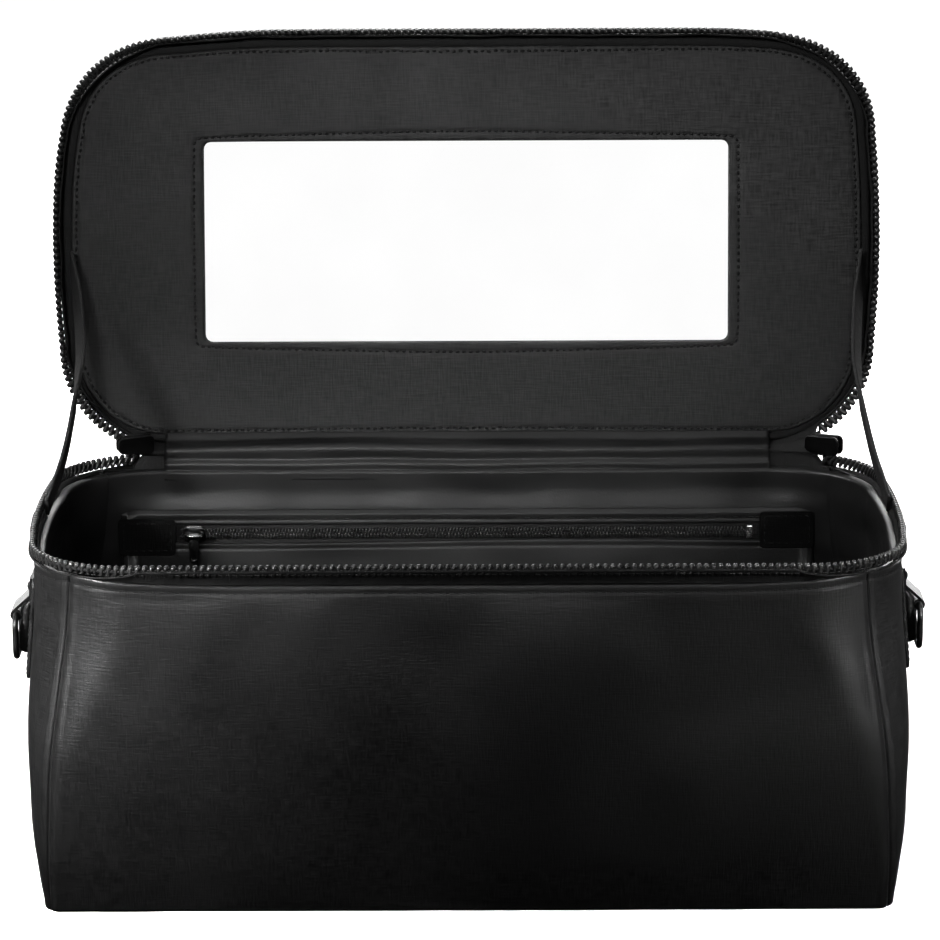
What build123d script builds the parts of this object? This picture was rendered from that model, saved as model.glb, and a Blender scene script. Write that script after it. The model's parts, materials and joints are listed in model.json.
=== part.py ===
from build123d import *
import os
from math import asin, atan2, cos, radians, sin, tan

# Soft-sided zip-top travel case with a mirror in its hinged lid, lid standing open.
# Millimetres, +Z up, X across the front, +Y to the back.
# The origin is the middle of the underside.

# --- zip line: the plane where the body and the lid part -------------------------------------
RIM_HEIGHT = 135.5        # zip line above the floor
RIM_HALF_WIDTH = 165.0    # at the middle of each end
RIM_HALF_DEPTH = 84.5
RIM_CORNER = 41.0
RIM_BOW = 2.0             # how far each end bows out between its corners
OPEN_ANGLE = 98.0         # lid angle from closed, held there by the stay straps

# --- wall layers, as depths in from the outside face ------------------------------------------
SKIN = 1.5                # coated fabric, foam backed
BOARD_INNER = 4.0         # stiffener board lies between the skin and this depth
LINING_INNER = 5.0
TAPE = 0.9                # zip tape, and the hinge strip that carries on from it

# --- body ---------------------------------------------------------------------------------------
BAND_LOW = 113.0          # the walls stand upright from here to the rim
WALL_TOP = RIM_HEIGHT - 8.0
BASE_HALF_WIDTH = 166.0
BASE_HALF_DEPTH = 82.5
# height, half width, half depth, corner radius, bow of each end
LEVELS = (
    (SKIN, BASE_HALF_WIDTH, BASE_HALF_DEPTH, 6.0, 8.0),
    (14.0, 169.0, 84.0, 9.0, 7.5),
    (60.0, 169.5, 85.5, 20.0, 4.5),
    (BAND_LOW, RIM_HALF_WIDTH, RIM_HALF_DEPTH, RIM_CORNER, RIM_BOW),
)
SEAM_TOP_X = 147.0        # the corner seams run from here on the rim to the base corners
SEAM_BASE_X = BASE_HALF_WIDTH - 8.0
FLOOR_BOARD = 3.0
FLOOR_TOP = SKIN + FLOOR_BOARD + 1.0

# --- zip ----------------------------------------------------------------------------------------
COIL_DEPTH = 2.6          # across the tape
COIL_HEIGHT = 5.0
COIL_GAP = 0.15           # each half stops this far short of the zip line
TAPE_WIDTH = 17.0
HINGE_STRIP_HALF = 122.0
SLIDER_X = {"left": -133.6, "right": 143.2}
SLIDER_LENGTH = 14.0
SLIDER_WIDTH = 9.0
SLIDER_RISE = 2.5         # slider centre above the zip line
SLIDER_PLATE = 1.4
SLIDER_GAP = 3.0          # between the slider's two plates
BAR_RADIUS = 0.8
BAR_STAND_OFF = 5.2       # pull bar's axis from the zip
MAIN_PULL_LENGTH = 27.0
EYE_CLEARANCE = 0.3

# --- lid: heights above the zip line, with the lid closed ---------------------------------------
LID_BAND_LOW = 8.0
LID_BAND_HIGH = 18.0
LID_BOARD = 2.5
PANEL_LOW = 6.0
PANEL_THICK = 3.0
PANEL_INSET = 6.0
MIRROR_SIGHT = (211.0, 81.0)
MIRROR_SIZE = (219.0, 89.0)
MIRROR_SHIFT = 1.0        # mirror's centre, towards the hinge from the lid's centre
GLASS = 2.0
MIRROR_BACK = 1.0

# --- stay straps --------------------------------------------------------------------------------
STRAP_X = 159.5           # outer face
STRAP_THICK = 1.6
STRAP_WIDTH = 9.0
STRAP_LID_REACH = 79.0    # lid end, from the hinge
STRAP_BODY_END = (2.0, 124.0)

# --- zip pocket on the back wall's lining -------------------------------------------------------
POCKET_HALF = 139.5
POCKET_ZIP_Z = 103.5
POCKET_FACE = 74.5        # y of the front of the pocket's panel
POCKET_LOW = 9.0
POCKET_SLOT = 6.8
WELT_HEIGHT = 5.5
POCKET_COIL = (-115.5, 112.0)
POCKET_SLIDER_X = -110.0
POCKET_PULL_LENGTH = 11.0

# --- strap rings on the ends --------------------------------------------------------------------
RING_Z = {"left": 93.2, "right": 96.0}
RING_STAND_OFF = 7.2      # ring bar's axis from the wall
RING_WIRE = 1.2
RING_SIZE = (24.0, 16.0)  # along Y, and down, on the wire's centre line
RING_BEND = 4.0
KNUCKLE_WALL = 1.0
KNUCKLE_BORE = RING_WIRE + 0.08
TAB_SIZE = (22.0, 41.0)
TAB_DROP = 4.5            # tab's middle below the ring's bar
TAB_THICK = 1.8
FLANGE_LOW = 8.0          # the bracket lies flat on the tab above this
FLANGE_HEIGHT = 7.0
BRACKET_WIDTH = 15.0
RIVET_RADIUS = 1.6

os.makedirs("parts", exist_ok=True)


def finish(builder, name):
    builder.part.label = name
    export_step(builder.part, f"parts/{name}.step")


# ================================== shapes used more than once ==================================
def outline(half_width, half_depth, corner, bow, inset=0.0, mode=Mode.ADD):
    """A rounded rectangle with bowed ends, drawn in the current sketch."""
    middle = half_width - inset
    end = middle - bow
    back = half_depth - inset
    radius = corner - inset
    mid_arc = radius * (1 - cos(radians(45)))
    with BuildLine() as border:
        Line((radius - end, -back), (end - radius, -back))
        Line((radius - end, back), (end - radius, back))
        for side in (-1, 1):
            for face in (-1, 1):
                ThreePointArc(
                    (side * (end - radius), face * back),
                    (side * (end - mid_arc), face * (back - mid_arc)),
                    (side * end, face * (back - radius)),
                )
            ThreePointArc((side * end, radius - back), (side * middle, 0), (side * end, back - radius))
    make_face(border.edges(), mode=mode)


def rim_outline(inset, mode=Mode.ADD):
    outline(RIM_HALF_WIDTH, RIM_HALF_DEPTH, RIM_CORNER, RIM_BOW, inset, mode)


def wall_body(inset, low, top, mode=Mode.ADD):
    """The solid inside the wall face at one depth, from the base to the rim."""
    sections = []
    for height, *shape in LEVELS:
        with BuildSketch(Plane.XY.offset(max(height, low))) as section:
            outline(*shape, inset)
        sections.append(section.sketch)
    loft(sections=sections, ruled=True, mode=mode)
    with BuildSketch(Plane.XY.offset(BAND_LOW)) as band:
        rim_outline(inset)
    extrude(band.sketch, amount=top - BAND_LOW, mode=mode)


def seam_plane(side, face):
    """The plane through one corner seam, facing that end of the case."""
    reach = SEAM_TOP_X - (RIM_HALF_WIDTH - RIM_BOW - RIM_CORNER)
    turn = asin(reach / RIM_CORNER)
    top = Vector(side * SEAM_TOP_X, face * (RIM_HALF_DEPTH - RIM_CORNER * (1 - cos(turn))), WALL_TOP)
    base = Vector(side * SEAM_BASE_X, face * BASE_HALF_DEPTH, 0)
    outward = Vector(side * sin(turn), face * cos(turn), 0)
    normal = (base - top).cross(outward).normalized()
    if normal.X * side < 0:
        normal = normal * -1
    return Plane(origin=top, z_dir=normal)


FRONT_HALF = Plane(origin=(0, 0, 0), z_dir=(0, -1, 0))
BACK_HALF = Plane(origin=(0, 0, 0), z_dir=(0, 1, 0))
LEFT_HALF = Plane(origin=(0, 0, 0), z_dir=(-1, 0, 0))
RIGHT_HALF = Plane(origin=(0, 0, 0), z_dir=(1, 0, 0))
# each wall's half of the case, then its two seams and the side of them that it keeps
WALLS = {
    "front": (FRONT_HALF, seam_plane(-1, -1), seam_plane(1, -1), Keep.BOTTOM),
    "back": (BACK_HALF, seam_plane(-1, 1), seam_plane(1, 1), Keep.BOTTOM),
    "left": (LEFT_HALF, seam_plane(-1, -1), seam_plane(-1, 1), Keep.TOP),
    "right": (RIGHT_HALF, seam_plane(1, -1), seam_plane(1, 1), Keep.TOP),
}


def wall_piece(wall, outer, inner, low, top):
    """One wall of one layer, cut from the whole ring of that layer at its corner seams."""
    half, seam_a, seam_b, keep = WALLS[wall]
    with BuildPart() as piece:
        wall_body(outer, low, top)
        wall_body(inner, low, top, mode=Mode.SUBTRACT)
        if outer == SKIN:
            # the zip tape lies in this step between the skin and the board
            with BuildSketch(Plane.XY.offset(TAPE_LOW)):
                rim_outline(SKIN)
                rim_outline(SKIN + TAPE, mode=Mode.SUBTRACT)
            extrude(amount=top - TAPE_LOW, mode=Mode.SUBTRACT)
        split(bisect_by=half, keep=Keep.TOP)
        split(bisect_by=seam_a, keep=keep)
        split(bisect_by=seam_b, keep=keep)
    return piece


TAPE_LOW = RIM_HEIGHT - 1.0 - TAPE_WIDTH
BACK_OF_ZIP = 70.0        # the zip is cut away for its sliders and hinge strip behind this y

# the closed lid's frame, swung open about the hinge line
TILT = radians(OPEN_ANGLE)
LID = Plane(
    origin=(0, RIM_HALF_DEPTH * (1 - cos(TILT)), RIM_HEIGHT + RIM_HALF_DEPTH * sin(TILT)),
    x_dir=(1, 0, 0),
    z_dir=(0, sin(TILT), cos(TILT)),
)


def rim_ring(plane, outer, inner, height, cut=True):
    """A band round the rim, standing up from the plane, left open at the back for the hinge."""
    with BuildSketch(plane) as ring:
        rim_outline(outer)
        rim_outline(inner, mode=Mode.SUBTRACT)
    extrude(ring.sketch, amount=height)
    if cut:
        left_end = SLIDER_X["left"] - SLIDER_LENGTH / 2 - 1.0
        right_end = SLIDER_X["right"] + SLIDER_LENGTH / 2 + 1.0
        with BuildSketch(plane) as opening:
            with Locations(((left_end + right_end) / 2, BACK_OF_ZIP + 10)):
                Rectangle(right_end - left_end, 40)
        extrude(opening.sketch, amount=height, mode=Mode.SUBTRACT)


def eye_plate(plane, axis_at, length, width, eye, thickness):
    """A pull that hangs from its eye, drawn in the plane across its bar."""
    with BuildSketch(plane) as section:
        with Locations(axis_at):
            Circle(eye)
        with Locations((axis_at[0], axis_at[1] - length / 2)):
            Rectangle(thickness, length - 1)
        with Locations(axis_at):
            Circle(BAR_RADIUS + EYE_CLEARANCE, mode=Mode.SUBTRACT)
    extrude(section.sketch, amount=width / 2, both=True)


# ========================================== body walls ==========================================
for wall in WALLS:
    finish(wall_piece(wall, 0, SKIN, SKIN, WALL_TOP), f"{wall}_panel")
    finish(wall_piece(wall, SKIN, BOARD_INNER, SKIN + 0.5, WALL_TOP - 0.5), f"{wall}_board")
    finish(wall_piece(wall, BOARD_INNER, LINING_INNER, FLOOR_TOP, WALL_TOP), f"{wall}_lining")

with BuildPart() as base_panel:
    with BuildSketch():
        outline(*LEVELS[0][1:])
    extrude(amount=SKIN)
finish(base_panel, "base_panel")

with BuildPart() as base_board:
    with BuildSketch(Plane.XY.offset(SKIN)):
        outline(*LEVELS[0][1:], BOARD_INNER + 0.3)
    extrude(amount=FLOOR_BOARD)
finish(base_board, "base_board")

with BuildPart() as floor_lining:
    with BuildSketch(Plane.XY.offset(SKIN + FLOOR_BOARD)):
        outline(*LEVELS[0][1:], BOARD_INNER + 0.3)
    extrude(amount=FLOOR_TOP - SKIN - FLOOR_BOARD)
finish(floor_lining, "floor_lining")

# ============================================= zip ==============================================
with BuildPart() as body_zip_tape:
    rim_ring(Plane.XY.offset(TAPE_LOW), SKIN, SKIN + TAPE, TAPE_WIDTH)
finish(body_zip_tape, "body_zip_tape")

with BuildPart() as body_zip_coil:
    coil_low = RIM_HEIGHT - COIL_GAP - COIL_HEIGHT
    rim_ring(Plane.XY.offset(coil_low), SKIN - COIL_DEPTH, SKIN, COIL_HEIGHT)
finish(body_zip_coil, "body_zip_coil")

with BuildPart() as lid_zip_tape:
    rim_ring(LID.offset(1.0), SKIN, SKIN + TAPE, LID_BAND_HIGH - LID_BOARD - 1.0)
finish(lid_zip_tape, "lid_zip_tape")

with BuildPart() as lid_zip_coil:
    rim_ring(LID.offset(COIL_GAP), SKIN - COIL_DEPTH, SKIN, COIL_HEIGHT)
finish(lid_zip_coil, "lid_zip_coil")

with BuildPart() as hinge_strip:
    # up the back wall's step, then back along the lid's own step
    lid_depth = SKIN + TAPE / 2 + 0.05
    lid_start = LID.from_local_coords((0, RIM_HALF_DEPTH - lid_depth, 0))
    lid_end = LID.from_local_coords((0, RIM_HALF_DEPTH - lid_depth, LID_BAND_HIGH - LID_BOARD - 0.5))
    inner_y = RIM_HALF_DEPTH - SKIN - TAPE / 2
    fold_z = lid_start.Z + (inner_y - lid_start.Y) / tan(TILT)
    with BuildSketch(Plane.YZ):
        with BuildLine():
            FilletPolyline(
                (inner_y, TAPE_LOW), (inner_y, fold_z), (lid_end.Y, lid_end.Z), radius=1.5
            )
        trace(line_width=TAPE)
    extrude(amount=HINGE_STRIP_HALF, both=True)
finish(hinge_strip, "hinge_strip")

# sliders parked at the back corners, each with its pull hanging outside
for side, slider_x in SLIDER_X.items():
    sign = -1 if side == "left" else 1
    arc_middle = RIM_HALF_WIDTH - RIM_BOW - RIM_CORNER
    chain_radius = RIM_CORNER - 0.5
    turn = asin((abs(slider_x) - arc_middle) / chain_radius)
    chain = Plane(
        origin=(
            slider_x,
            RIM_HALF_DEPTH - RIM_CORNER + chain_radius * cos(turn),
            RIM_HEIGHT + SLIDER_RISE,
        ),
        x_dir=(-cos(turn), sign * sin(turn), 0),
        z_dir=(sign * sin(turn), cos(turn), 0),
    )
    plate_at = SLIDER_GAP / 2
    with BuildPart() as main_slider:
        for plate_low in (plate_at, -plate_at - SLIDER_PLATE):
            with BuildSketch(chain.offset(plate_low)):
                RectangleRounded(SLIDER_LENGTH, SLIDER_WIDTH, 2.5)
            extrude(amount=SLIDER_PLATE)
        with BuildSketch(chain.offset(-plate_at)):
            with Locations((-sign * (SLIDER_LENGTH / 2 - 2.5), 0)):
                Rectangle(3, 2.4)
        extrude(amount=SLIDER_GAP)
        with BuildSketch(chain.offset(plate_at + SLIDER_PLATE)):
            with Locations((-4.2, -1), (4.2, -1)):
                Rectangle(1.4, 2.6)
        extrude(amount=BAR_STAND_OFF + BAR_RADIUS - plate_at - SLIDER_PLATE)
        bar_end = Plane(origin=chain.from_local_coords((-4.2, -1, BAR_STAND_OFF)), z_dir=chain.x_dir)
        with BuildSketch(bar_end):
            Circle(BAR_RADIUS)
        extrude(amount=8.4)
    finish(main_slider, f"main_slider_{side}")

    across_bar = Plane(origin=chain.from_local_coords((0, -1, BAR_STAND_OFF)),
                       x_dir=chain.z_dir, z_dir=chain.x_dir * -1)
    with BuildPart() as main_pull:
        eye_plate(across_bar, (0, 0), MAIN_PULL_LENGTH, 6.4, 2.0, 1.6)
    finish(main_pull, f"main_pull_{side}")
    print(f"{side} pull hinge at {across_bar.origin}, along {chain.x_dir}")

# ============================================= lid ==============================================
with BuildPart() as lid_side_band:
    rim_ring(LID.offset(LID_BAND_LOW), 0, SKIN, LID_BAND_HIGH - LID_BAND_LOW, cut=False)
finish(lid_side_band, "lid_side_band")

with BuildPart() as lid_outer_panel:
    with BuildSketch(LID.offset(LID_BAND_HIGH)):
        rim_outline(0)
    extrude(amount=SKIN)
finish(lid_outer_panel, "lid_outer_panel")

with BuildPart() as lid_board:
    with BuildSketch(LID.offset(LID_BAND_HIGH - LID_BOARD)):
        rim_outline(SKIN + TAPE)
    extrude(amount=LID_BOARD)
finish(lid_board, "lid_board")

panel_high = PANEL_LOW + PANEL_THICK
with BuildPart() as lid_foam:
    with BuildSketch(LID.offset(panel_high)):
        rim_outline(SKIN + TAPE + 0.2)
    extrude(amount=LID_BAND_HIGH - LID_BOARD - panel_high)
    with BuildSketch(LID.offset(panel_high)):
        with Locations((0, MIRROR_SHIFT)):
            RectangleRounded(MIRROR_SIZE[0] + 0.4, MIRROR_SIZE[1] + 0.4, 4.2)
    extrude(amount=GLASS + MIRROR_BACK, mode=Mode.SUBTRACT)
finish(lid_foam, "lid_foam")

with BuildPart() as mirror_glass:
    with BuildSketch(LID.offset(panel_high)):
        with Locations((0, MIRROR_SHIFT)):
            RectangleRounded(*MIRROR_SIZE, 4)
    extrude(amount=GLASS)
finish(mirror_glass, "mirror_glass")

with BuildPart() as mirror_backing:
    with BuildSketch(LID.offset(panel_high + GLASS)):
        with Locations((0, MIRROR_SHIFT)):
            RectangleRounded(*MIRROR_SIZE, 4)
    extrude(amount=MIRROR_BACK)
finish(mirror_backing, "mirror_backing")

with BuildPart() as lid_inner_panel:
    with BuildSketch(LID.offset(PANEL_LOW)):
        rim_outline(PANEL_INSET)
        with Locations((0, MIRROR_SHIFT)):
            RectangleRounded(*MIRROR_SIGHT, 3, mode=Mode.SUBTRACT)
    extrude(amount=PANEL_THICK)
finish(lid_inner_panel, "lid_inner_panel")

# stay straps: flat webbing from the lid's sides down to the body's lining, taut with the lid open
lid_end_height = 1.0
strap_top = (
    RIM_HALF_DEPTH - STRAP_LID_REACH * cos(TILT) + lid_end_height * sin(TILT),
    RIM_HEIGHT + STRAP_LID_REACH * sin(TILT) + lid_end_height * cos(TILT),
)
for side, plane_x in (("left", -STRAP_X), ("right", STRAP_X - STRAP_THICK)):
    with BuildPart() as stay_strap:
        with BuildSketch(Plane.YZ.offset(plane_x)):
            with BuildLine():
                Line(STRAP_BODY_END, strap_top)
            trace(line_width=STRAP_WIDTH)
        extrude(amount=STRAP_THICK)
    finish(stay_strap, f"stay_strap_{side}")

# ============================================ pocket ============================================
panel_top = POCKET_ZIP_Z - POCKET_SLOT / 2
welt_low = POCKET_ZIP_Z + POCKET_SLOT / 2


def upright(face_y, x_span, z_span, thickness):
    """A flat piece of the pocket, its front face at face_y."""
    with BuildSketch(Plane(origin=(0, face_y, 0), x_dir=(1, 0, 0), z_dir=(0, -1, 0))) as face:
        with Locations(((x_span[0] + x_span[1]) / 2, (z_span[0] + z_span[1]) / 2)):
            Rectangle(x_span[1] - x_span[0], z_span[1] - z_span[0])
    extrude(face.sketch, amount=-thickness)


with BuildPart() as pocket_panel:
    upright(POCKET_FACE, (-POCKET_HALF, POCKET_HALF), (POCKET_LOW, panel_top), 1.0)
    for side in (-1, 1):
        edge = sorted((side * POCKET_HALF, side * (POCKET_HALF - 1)))
        upright(POCKET_FACE, edge, (POCKET_LOW, panel_top), 2.4)
finish(pocket_panel, "pocket_panel")

with BuildPart() as pocket_welt:
    upright(POCKET_FACE, (-POCKET_HALF, POCKET_HALF), (welt_low, welt_low + WELT_HEIGHT), 1.0)
finish(pocket_welt, "pocket_welt")

with BuildPart() as pocket_zip_tape:
    upright(POCKET_FACE + 1.0, (1 - POCKET_HALF, POCKET_HALF - 1), (panel_top - 3, welt_low + 4), 0.7)
finish(pocket_zip_tape, "pocket_zip_tape")

with BuildPart() as pocket_zip_coil:
    upright(POCKET_FACE - 0.6, POCKET_COIL, (POCKET_ZIP_Z - 1.9, POCKET_ZIP_Z + 1.9), 1.6)
    fillet(pocket_zip_coil.edges().filter_by(Axis.X).group_by(Axis.Y)[0], 0.7)
finish(pocket_zip_coil, "pocket_zip_coil")

with BuildPart() as pocket_zip_stop:
    stop_span = (POCKET_COIL[1] + 0.2, POCKET_COIL[1] + 2.7)
    upright(POCKET_FACE - 0.9, stop_span, (POCKET_ZIP_Z - 2.6, POCKET_ZIP_Z + 2.6), 1.9)
finish(pocket_zip_stop, "pocket_zip_stop")

patch_z = (panel_top - 3.0, welt_low + WELT_HEIGHT)
for side, span in (("left", (-POCKET_HALF, -116.5)), ("right", (117.5, POCKET_HALF))):
    with BuildPart() as pocket_end:
        upright(POCKET_FACE - 0.8, span, patch_z, 0.8)
    finish(pocket_end, f"pocket_end_{side}")

slider_face = POCKET_FACE - 2.6
with BuildPart() as pocket_slider:
    slider_span = (POCKET_SLIDER_X - 4.5, POCKET_SLIDER_X + 4.5)
    upright(slider_face, slider_span, (POCKET_ZIP_Z - 3.1, POCKET_ZIP_Z + 3.1), 1.7)
    fillet(pocket_slider.edges().filter_by(Axis.Y), 1.5)
    for side in (-1, 1):
        flange = sorted((POCKET_ZIP_Z + side * 2.2, POCKET_ZIP_Z + side * 3.1))
        upright(slider_face, (POCKET_SLIDER_X - 3, POCKET_SLIDER_X + 3), flange, 2.9)
        post = sorted((POCKET_SLIDER_X + side * 2.4, POCKET_SLIDER_X + side * 3.4))
        upright(slider_face - 2.6, post, (POCKET_ZIP_Z - 1, POCKET_ZIP_Z + 1), 2.6)
    with BuildSketch(Plane.YZ.offset(POCKET_SLIDER_X)):
        with Locations((slider_face - 1.8, POCKET_ZIP_Z)):
            Circle(BAR_RADIUS)
    extrude(amount=2.6, both=True)
finish(pocket_slider, "pocket_slider")
print(f"pocket pull hinge at y {slider_face - 1.8}, z {POCKET_ZIP_Z}, along X")

with BuildPart() as pocket_pull:
    eye_plate(Plane.YZ.offset(POCKET_SLIDER_X), (slider_face - 1.8, POCKET_ZIP_Z),
              POCKET_PULL_LENGTH, 4.2, 1.6, 1.0)
finish(pocket_pull, "pocket_pull")

# ========================================= strap rings ==========================================
end_level = LEVELS[2]
lean = atan2(end_level[1] - RIM_HALF_WIDTH, BAND_LOW - end_level[0])
for side, sign in (("left", -1), ("right", 1)):
    ring_z = RING_Z[side]
    wall_x = RIM_HALF_WIDTH + (BAND_LOW - ring_z) * (end_level[1] - RIM_HALF_WIDTH) / (
        BAND_LOW - end_level[0])
    wall = Plane(
        origin=(sign * (wall_x + 0.05), 0, ring_z),
        x_dir=(0, sign, 0),
        z_dir=(sign * cos(lean), 0, sin(lean)),
    )
    # the bracket's section is drawn across the ring's bar: x away from the wall, y up it
    section = Plane(origin=wall.origin, x_dir=wall.z_dir, z_dir=wall.x_dir * -1)
    with BuildPart() as ring_tab:
        with BuildSketch(wall):
            with Locations((0, -TAB_DROP)):
                RectangleRounded(*TAB_SIZE, 3)
        extrude(amount=TAB_THICK)
    finish(ring_tab, f"ring_tab_{side}")

    with BuildPart() as ring_bracket:
        with BuildSketch(section):
            with BuildLine():
                Polyline(
                    (TAB_THICK + KNUCKLE_WALL / 2, FLANGE_LOW + FLANGE_HEIGHT),
                    (TAB_THICK + KNUCKLE_WALL / 2, FLANGE_LOW),
                    (RING_STAND_OFF + 1.2, 1.4),
                )
            trace(line_width=KNUCKLE_WALL)
            with Locations((RING_STAND_OFF, 0)):
                Circle(KNUCKLE_BORE + KNUCKLE_WALL)
                Circle(KNUCKLE_BORE, mode=Mode.SUBTRACT)
        extrude(amount=BRACKET_WIDTH / 2, both=True)
    finish(ring_bracket, f"ring_bracket_{side}")

    with BuildPart() as side_ring:
        hang = Plane(origin=section.from_local_coords((RING_STAND_OFF, 0, 0)),
                     x_dir=(0, sign, 0), z_dir=(sign, 0, 0))
        half_bar = RING_SIZE[0] / 2
        with BuildLine(hang) as ring_path:
            FilletPolyline(
                (half_bar, 0),
                (half_bar, -RING_SIZE[1]),
                (-half_bar, -RING_SIZE[1]),
                (-half_bar, 0),
                close=True,
                radius=RING_BEND,
            )
        with BuildSketch(Plane(origin=hang.from_local_coords((0, -RING_SIZE[1], 0)),
                               x_dir=(sign, 0, 0), z_dir=(0, 1, 0))):
            Circle(RING_WIRE)
        sweep(path=ring_path.wires()[0])
    finish(side_ring, f"side_ring_{side}")
    print(f"{side} ring hinge at {hang.origin}, along Y")

    with BuildPart() as tab_rivets:
        for across in (-4.5, 4.5):
            with BuildSketch(wall.offset(TAB_THICK + KNUCKLE_WALL)):
                with Locations((across, FLANGE_LOW + FLANGE_HEIGHT / 2)):
                    Circle(RIVET_RADIUS)
            extrude(amount=0.7)
    finish(tab_rivets, f"tab_rivets_{side}")
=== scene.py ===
import json
from functools import reduce
from math import cos, pi, radians, sin

import bmesh
import bpy
import numpy as np
from mathutils import Matrix, Vector


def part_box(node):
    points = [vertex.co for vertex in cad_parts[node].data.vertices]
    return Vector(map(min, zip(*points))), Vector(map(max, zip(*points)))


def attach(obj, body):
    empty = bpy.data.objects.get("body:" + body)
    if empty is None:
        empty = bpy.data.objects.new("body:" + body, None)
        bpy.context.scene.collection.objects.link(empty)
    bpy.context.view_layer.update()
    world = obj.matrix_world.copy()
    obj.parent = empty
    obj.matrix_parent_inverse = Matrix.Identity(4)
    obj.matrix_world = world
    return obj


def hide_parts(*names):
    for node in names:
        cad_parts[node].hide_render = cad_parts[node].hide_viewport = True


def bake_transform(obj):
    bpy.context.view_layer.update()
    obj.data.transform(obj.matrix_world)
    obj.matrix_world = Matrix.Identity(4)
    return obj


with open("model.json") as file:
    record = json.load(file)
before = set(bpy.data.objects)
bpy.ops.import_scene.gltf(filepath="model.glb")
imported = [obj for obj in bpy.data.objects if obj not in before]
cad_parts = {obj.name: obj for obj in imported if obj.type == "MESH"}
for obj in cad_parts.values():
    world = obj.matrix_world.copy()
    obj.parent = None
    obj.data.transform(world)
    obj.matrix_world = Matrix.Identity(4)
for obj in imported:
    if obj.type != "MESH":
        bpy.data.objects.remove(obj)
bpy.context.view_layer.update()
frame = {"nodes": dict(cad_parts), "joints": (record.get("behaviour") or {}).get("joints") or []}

# Soft-sided zip-top travel case with a mirror in its open lid. Metres, +Z up, front towards -Y.
# Lid pieces are laid out with the lid closed, then turned open by the lid hinge's own range.
# Depths are measured in from the outside face, and lid heights up from the zip line.

# --- places taken from the frame -----------------------------------------------------------------
JOINTS = {joint["name"]: joint for joint in frame["joints"]}
HINGE_Y, ZIP_Z = JOINTS["lid_hinge"]["pos_m"][1:]
OPEN_TURN = radians(JOINTS["lid_hinge"]["range_deg"][1])
RIM_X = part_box("lid_outer_panel")[1].x
RIM_Y = HINGE_Y
WALL_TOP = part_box("front_panel")[1].z
FLOOR_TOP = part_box("floor_lining")[1].z

# --- body shape, as the CAD has it ----------------------------------------------------------------
RIM_CORNER = 0.041
RIM_BOW = 0.002
LINING_DEPTH = 0.0046
# height, half width, half depth, corner radius, bow of each end
LEVELS = np.array([
    (0.0015, 0.1660, 0.0825, 0.006, 0.0080),
    (0.0140, 0.1690, 0.0840, 0.009, 0.0075),
    (0.0600, 0.1695, 0.0855, 0.020, 0.0045),
    (0.1130, RIM_X, RIM_Y, RIM_CORNER, RIM_BOW),
    (0.1355, RIM_X, RIM_Y, RIM_CORNER, RIM_BOW),
])
LEVEL_EASE = 0.012        # the levels run into each other over this height, up and down
SEAM_TOP_X = 0.147
SEAM_BASE_X = 0.158

# --- seams and hems ---------------------------------------------------------------------------------
HEM_ROLL = 0.0009
SEAM_ROLL = 0.0014
BASE_ROLL = 0.0016
SEAM_CORD = 0.0010        # radius of the cord in each corner seam
SEAM_CORD_DEPTH = 0.0016
HEM_STITCH = 0.0030       # stitch line below the folded top edge
HEM_RISE = 0.0028         # how far the folded edge climbs towards the corner seams
STITCH_PITCH = 0.0030
CLOTH_THICK = 0.0012
LINING_THICK = 0.0005

# --- zip --------------------------------------------------------------------------------------------
COIL_PITCH = 0.00263
COIL_HEIGHT = 0.0050
COIL_DEPTH = 0.0026
COIL_WIRE = 0.00080       # radius
COIL_CORD = 0.0009         # radius of the cord inside the coil
TAPE_DEPTH = 0.0017
TAPE_THICK = 0.0007
COIL_OUT = 0.0002          # depth of the coil's middle line on the straights
COIL_TUCK = 0.0014         # how much deeper it lies round the lid's corners
ZIP_TAIL = 0.032           # each tape runs on this far past its slider

# --- lid --------------------------------------------------------------------------------------------
BAND_LOW = 0.0080
BAND_HIGH = 0.0180
BOARD_THICK = 0.0025
PANEL_LOW = 0.0060
PANEL_BACK = 0.0088
PANEL_INSET = 0.0060
GLASS_LOW = 0.0090
GLASS_DEPTH = 0.0890
GLASS_THICK = 0.0020
SEAT_HALF = 0.0450        # half the front to back size of the hole in the foam
WINDOW = (0.2110, 0.0810)
WINDOW_CORNER = 0.0030
WINDOW_SHIFT = 0.0010     # towards the hinge


# ======================================== lines and surfaces =======================================
def unit(directions):
    """Directions scaled to length 1."""
    return directions / np.linalg.norm(directions, axis=-1, keepdims=True)


def closed(line):
    """A ring of points with its first point repeated at its end."""
    return np.concatenate([line, line[:1]])


def lengths_along(line):
    """The distance along a line to each of its points."""
    return np.concatenate([[0], np.cumsum(np.linalg.norm(np.diff(line, axis=0), axis=1))])


def everywhere(direction, points):
    """One direction, repeated for every point."""
    return np.broadcast_to(direction, points.shape)


def softened(line, passes):
    """A line's inner values drawn towards their neighbours."""
    for _ in range(passes):
        line[1:-1] = (line[:-2] + 2 * line[1:-1] + line[2:]) / 4
    return line


UP = (0.0, 0.0, 1.0)
FORWARD = (0.0, -1.0, 0.0)


def outline(half_width, half_depth, corner, bow):
    """Points round a rounded rectangle with bowed ends, anticlockwise from the middle of its front."""
    end = half_width - bow
    straight = np.linspace(0, end - corner, 80, endpoint=False)
    turn = np.linspace(0, pi / 2, 48, endpoint=False)
    rise = np.linspace(corner - half_depth, 0, 32)
    bowed = end + bow * (1 - (rise / (half_depth - corner)) ** 2)
    x = np.concatenate([straight, end - corner + corner * np.sin(turn), bowed])
    y = np.concatenate([np.full(80, -half_depth), corner - half_depth - corner * np.cos(turn), rise])
    quarter = np.stack([x, y], axis=-1)
    right = np.vstack([quarter, quarter[-2::-1] * (1, -1)])
    return np.vstack([right, right[-2:0:-1] * (-1, 1)])


OUTWARD_REACH = 0.0006    # a loop's direction is taken between points this far either side


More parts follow.
